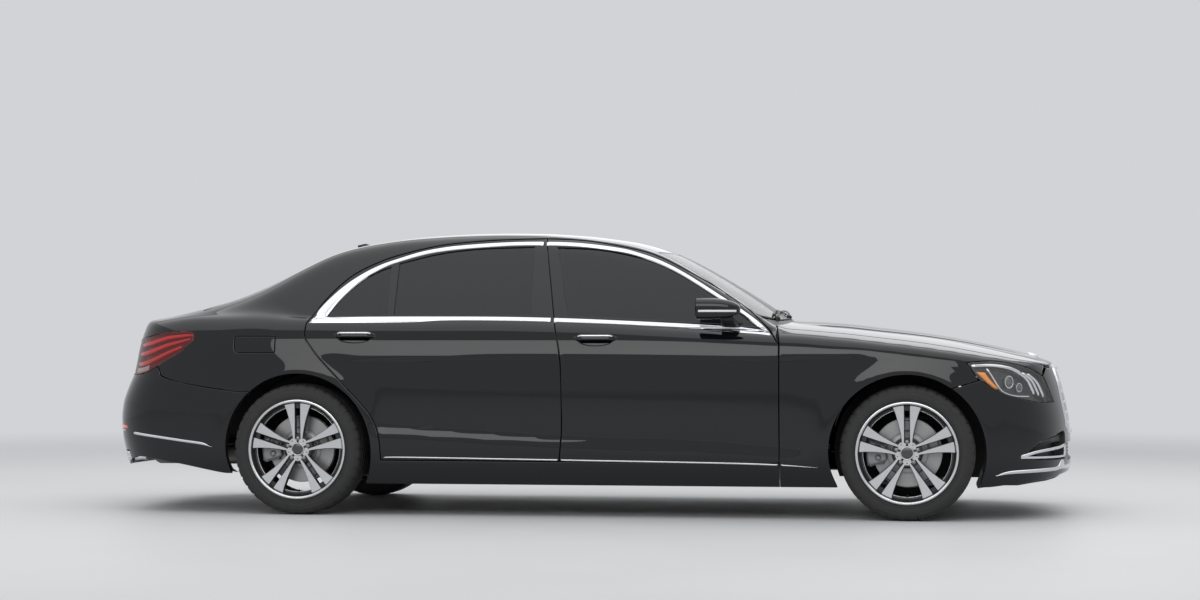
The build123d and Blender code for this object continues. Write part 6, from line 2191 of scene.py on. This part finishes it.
# trim on the doors' inner sides
cardFront = joined([[(0.905, 0.345), (0.905, 0.955)], [(0.905, 0.955), (0.40, 0.982), (0.045, 0.990)],
                    [(0.045, 0.990), (0.020, 0.70), (0.028, 0.345)], [(0.028, 0.345), (0.905, 0.345)]],
                   0.02)
cardRear = joined([[(-0.110, 0.345), (-0.120, 0.70), (-0.150, 0.990)],
                   [(-0.150, 0.990), (-0.60, 0.994), (-1.120, 0.988)],
                   [(-1.120, 0.988), (-1.060, 0.80), (-0.930, 0.62), (-0.895, 0.345)],
                   [(-0.895, 0.345), (-0.110, 0.345)]],
                  0.02)
for side in sides:
    for place, card, start, end in (("front", cardFront, 0.16, 0.74), ("rear", cardRear, -0.78, -0.24)):
        body = f"{place}_door_{side}"
        panel(f"{place}Card_{side}", card, sideChart, body, "dashSkin", "paint", side, [body],
              sink=0.1125, depth=0.006,
              cell=0.03, backed=True)
        rail = np.array([[x, 0.640] for x in np.linspace(start, end, 24)])
        inside = views["side"](rail)
        inside[:, 1] -= 0.150
        rings = []
        for k, point in enumerate(inside):
            ease = 0.35 + 0.65 * window(np.array(k / 23), 0.0, 0.18, 0.82, 1.0)
            rings.append(roundedRing(point + [0, 0.030 * (1 - ease), 0.02 * math.sin(math.pi * k / 23)],
                                     (0, 0.034 * ease, 0),
                                     (0, 0, 0.026 * ease), 3.2, 24))
        loft(f"{place}Armrest_{side}", rings, "leather", body, "paint", side, [body])
        wood = views["side"](np.array([[x, 0.800] for x in np.linspace(start - 0.06, end + 0.06, 24)]))
        wood[:, 1] -= 0.1205
        loft(f"{place}CardWood_{side}",
             [roundedRing(p, (0, 0.0045, 0), (0, 0, 0.030), 4.0, 20) for p in wood], "woodTrim",
             body, "paint", side, [body])
        pull = views["side"](np.array([[x, 0.742] for x in np.linspace(end - 0.20, end - 0.06, 12)]))
        pull[:, 1] -= 0.132 + 0.010 * np.sin(np.linspace(0, math.pi, 12))
        tube(f"{place}Pull_{side}", pull, 0.0055, "brightTrim", body, "paint", side, [body], 10)
        speaker = views["side"](np.array([[(end - 0.08) if place == "front" else (start + 0.32),
                                           0.475]]))[0]
        lathe(f"{place}Speaker_{side}", [(0.0, 0.082), (0.004, 0.082), (0.006, 0.078), (0.0045, 0.074),
                                         (0.0045, 0.0005)],
              (speaker[0], speaker[1] - 0.1185, speaker[2]), (0, -1, 0), "mesh", body, "paint", [body],
              48, side)

# headlining, carpets, boot trim and the plastic cover over the engine bay
roofLining = [(0.430, 0.0), (0.418, 0.3), (0.392, 0.520), (0.0, 0.524), (-0.6, 0.520), (-1.290, 0.512),
              (-1.296, 0.0)]
liningHalf = joined([roofLining[:3], roofLining[2:6], roofLining[5:]], 0.03)
panel("headlining", bothHalves(np.vstack([liningHalf, [roofLining[-1]]]))[:-1], topChart, "root",
      "lining", "paint",
      sink=0.0335, depth=0.005, cell=0.05, replaced=["roof_panel"], backed=True)
loft("carpet", [roundedRing((0.035, 0, z), (1.035 - drop, 0, 0), (0, 0.690 - drop, 0), 14.0, 80)
                for z, drop in ((0.2155, 0.0), (0.2215, 0.0), (0.2245, 0.004), (0.2250, 0.02))], "carpet",
     *onFloor)
for side in sides:
    for name, x, half, y in (("front", 0.66, 0.27, 0.375), ("rear", -0.37, 0.13, 0.36)):
        loft(f"{name}Mat_{side}",
             [roundedRing((x, y, z), (half - drop, 0, 0), (0, 0.20 - drop, 0), 7.0, 48)
                                   for z, drop in ((0.224, 0.0), (0.2295, 0.0), (0.2315, 0.004),
                                                   (0.2315, 0.012))], "carpet",
             "root", "underbody", side, ["floor_pan"])


def bootRing(z, grow):
    return roundedRing((-1.835, 0, z), (0.485 + grow, 0, 0), (0, 0.530 + grow, 0), 9.0, 72)


loft("bootTrim", [bootRing(z, g) for z, g in ((0.404, -0.012), (0.404, 0.004), (0.72, 0.006),
                                              (0.726, 0.004), (0.726, 0.0),
                                            (0.72, -0.002), (0.425, -0.010), (0.412, -0.024),
                                              (0.4115, -0.06))],
     "carpet", *onFloor)
bayHalf = joined([[(1.118, 0.0), (1.117, 0.50), (1.112, 0.742)],
                  [(1.112, 0.742), (1.60, 0.742), (2.04, 0.729)],
                  [(2.04, 0.729), (2.20, 0.706), (2.31, 0.660), (2.365, 0.59), (2.395, 0.42),
                   (2.405, 0.0)]], 0.03)
bayHole = roundedRing((1.665, 0, 0), (0.356, 0, 0), (0, 0.276, 0), 6.0, 64)[:, :2]
panel("bayCover", bothHalves(np.vstack([bayHalf, [(2.380, 0.0)]]))[:-1], topChart, "root", "blackTrim",
      "trim",
      sink=0.095, depth=0.006, cell=0.05, holes=[bayHole], replaced=["front_fenders"])
wingEdge = smoothRun([(1.075, 0.742), (1.30, 0.741), (2.04, 0.728), (2.20, 0.706), (2.32, 0.661),
                      (2.39, 0.606)], 0.03)
wingAhead = np.gradient(wingEdge, axis=0)
wingOut = np.column_stack([-wingAhead[:, 1],
                           wingAhead[:, 0]]) / np.linalg.norm(wingAhead, axis=1)[:, None]
for side in sides:
    wallRings = []
    for place, height, away in zip(wingEdge, topChart(wingEdge)[:, 2], wingOut):
        wallRings.append([(*(place + away * out), height - down) for out, down in
                          ((0.004, 0.016), (0.008, 0.016), (0.008, 0.125), (0.004, 0.125))])
    loft(f"innerWing_{side}", wallRings, "jamb", "root", "paint", side, ["front_fenders"])
coverRings = [roundedRing((1.665, 0, z), (0.345 - drop, 0, 0), (0, 0.265 - drop, 0), 6.0, 64)
              for z, drop in ((0.700, 0.0), (0.775, 0.0), (0.790, 0.006), (0.797, 0.020), (0.798, 0.05))]
loft("engineCover", coverRings, "blackTrim", "root", "engine", "left", ["engine"])
for k in range(-3, 4):
    box(f"coverRib{k}", (1.40, k * 0.052 - 0.008, 0.794), (1.93, k * 0.052 + 0.008, 0.8045), "dashSkin",
        "root", "engine",
        "left", ["engine"], 0.003)
lathe("oilCap", [(0.0, 0.034), (0.014, 0.034), (0.018, 0.030), (0.019, 0.0005)], (1.455, 0.215, 0.793),
      (0, 0, 1),
      "blackTrim", "root", "engine", ["engine"], 32)
fillerAt = views["side"](np.array([[-1.665, 0.889]]))[0]
lathe("fillerCap", [(0.0, 0.042), (0.004, 0.042), (0.006, 0.036), (0.014, 0.034), (0.018, 0.030),
                    (0.019, 0.0005)],
      (fillerAt[0], fillerAt[1] - 0.052, fillerAt[2]), (0, 1, 0), "blackTrim", "root", "paint",
      ["body_sides"], 36, "right")
print("cabin made")

# finishes of the frame's own nodes
slotFinish = {"paint": "paint", "glass": "glass", "bright_trim": "brightTrim", "lamp_clear": "lampClear",
              "lamp_red": "lampRed", "tyre": "tyreRubber", "alloy": "alloyFace", "brake_iron": "iron",
              "chassis": "chassisMetal", "underbody": "underbody", "liner": "liner",
              "engine": "chassisMetal",
              "exhaust": "iron", "trim": "blackTrim", "seat_leather": "leather"}
for row in frame["record"]["subparts"]:
    nodeMesh = frame["nodes"][row["node"]].data
    nodeMesh.materials.clear()
    nodeMesh.materials.append(materials[slotFinish[row["material_slot"]]])

# camera, floor and light
cameraData = bpy.data.cameras.new("camera")
cameraValues = {"lens": 75.0, "sensor": 36.0, "place": (2.1555, -13.60, 0.911), "turn": 8.894,
                "lift": 0.923}
cameraData.lens = cameraValues["lens"]
cameraData.sensor_width = cameraValues["sensor"]
camera = placed("camera", cameraData)
turn, lift = math.radians(cameraValues["turn"]), math.radians(cameraValues["lift"])
forward = Vector((-math.sin(turn) * math.cos(lift), math.cos(turn) * math.cos(lift), math.sin(lift)))
right = Vector((math.cos(turn), math.sin(turn), 0))
upward = right.cross(forward)
camera.matrix_world = Matrix.Translation(cameraValues["place"]) @ Matrix(
    (right, upward, -forward)).transposed().to_4x4()
scene.camera = camera

floorMesh = bpy.data.meshes.new("floor")
floorHalf = 60
floorMesh.from_pydata([(-floorHalf, -floorHalf, 0), (floorHalf, -floorHalf, 0), (floorHalf, floorHalf, 0),
                       (-floorHalf, floorHalf, 0)], [], [(0, 1, 2, 3)])
floor = placed("floor", floorMesh)
backdrop = colour(0.64, 0.65, 0.67)
material("floorFinish", varied(colour(0.66), colour(0.70), 0.6, 0.45, 0.6))
floorMesh.materials.append(materials["floorFinish"])


def seenDirectly(tree):
    # 1 for what the camera, a mirror-like surface or glass sees, 0 for light that falls on things
    paths = Shade(tree).add("ShaderNodeLightPath", {}, {})
    rays = [Shade(tree, paths.socket.node.outputs[name])
            for name in ("Is Camera Ray", "Is Glossy Ray", "Is Transmission Ray")]
    return rays[0].maths("MAXIMUM", rays[0], rays[1].maths("MAXIMUM", rays[1], rays[2]))


floorTree = materials["floorFinish"].node_tree
floorOutput = next(n for n in floorTree.nodes if n.type == "OUTPUT_MATERIAL")
litFloor = Shade(floorTree, floorOutput.inputs["Surface"].links[0].from_socket)
place = Shade(floorTree).add("ShaderNodeTexCoord", {}, {}, out="Object")
away = place.add("ShaderNodeVectorMath", {"operation": "LENGTH"}, {0: place}, out="Value")
far = away.add("ShaderNodeMapRange", {"interpolation_type": "SMOOTHSTEP"},
               {0: away, 1: 4.6, 2: 13.0, 3: 0.0, 4: 1.0})
glow = far.add("ShaderNodeEmission", {}, {"Color": backdrop, "Strength": 1.0})
blended = far.add("ShaderNodeMixShader", {}, {0: far * seenDirectly(floorTree), 1: litFloor, 2: glow})
floorTree.links.new(blended.socket, floorOutput.inputs["Surface"])
floor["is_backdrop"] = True


def softbox(name, place, aim, width, height, power, spread):
    lamp = bpy.data.lights.new(name, "AREA")
    lamp.shape = "RECTANGLE"
    lamp.size, lamp.size_y = width, height
    lamp.energy = power
    lamp.spread = math.radians(spread)
    made = placed(name, lamp)
    made.visible_camera = False
    made.location = place
    made.rotation_euler = (Vector(aim) - Vector(place)).to_track_quat("-Z", "Y").to_euler()


# place, aim, width, height, watts and spread of each lamp
lamps = {"overhead": ((0, 0, 6.0), (0, 0, 0), 18.0, 12.0, 500, 150),
         "nearSide": ((0, -7.5, 3.4), (0, 0, 0.8), 9.0, 2.4, 64, 120),
         "farSide": ((0, 7.5, 3.4), (0, 0, 0.8), 9.0, 2.4, 22, 120)}
for name, values in lamps.items():
    softbox(name, *values)
world = bpy.data.worlds.new("world")
scene.world = world
world.use_nodes = True
sky = world.node_tree.nodes["Background"]
skyColour = seenDirectly(world.node_tree).mix(colour(0.34, 0.35, 0.37), backdrop)
world.node_tree.links.new(skyColour.socket, sky.inputs["Color"])
scene.view_settings.view_transform = "Standard"
added = [made.data for made in scene.objects if made.type == "MESH" and made.name not in frame["nodes"]]
triangles = sum(len(f.vertices) - 2 for mesh in added for f in mesh.polygons)
print("triangles added:", triangles)

low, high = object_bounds()
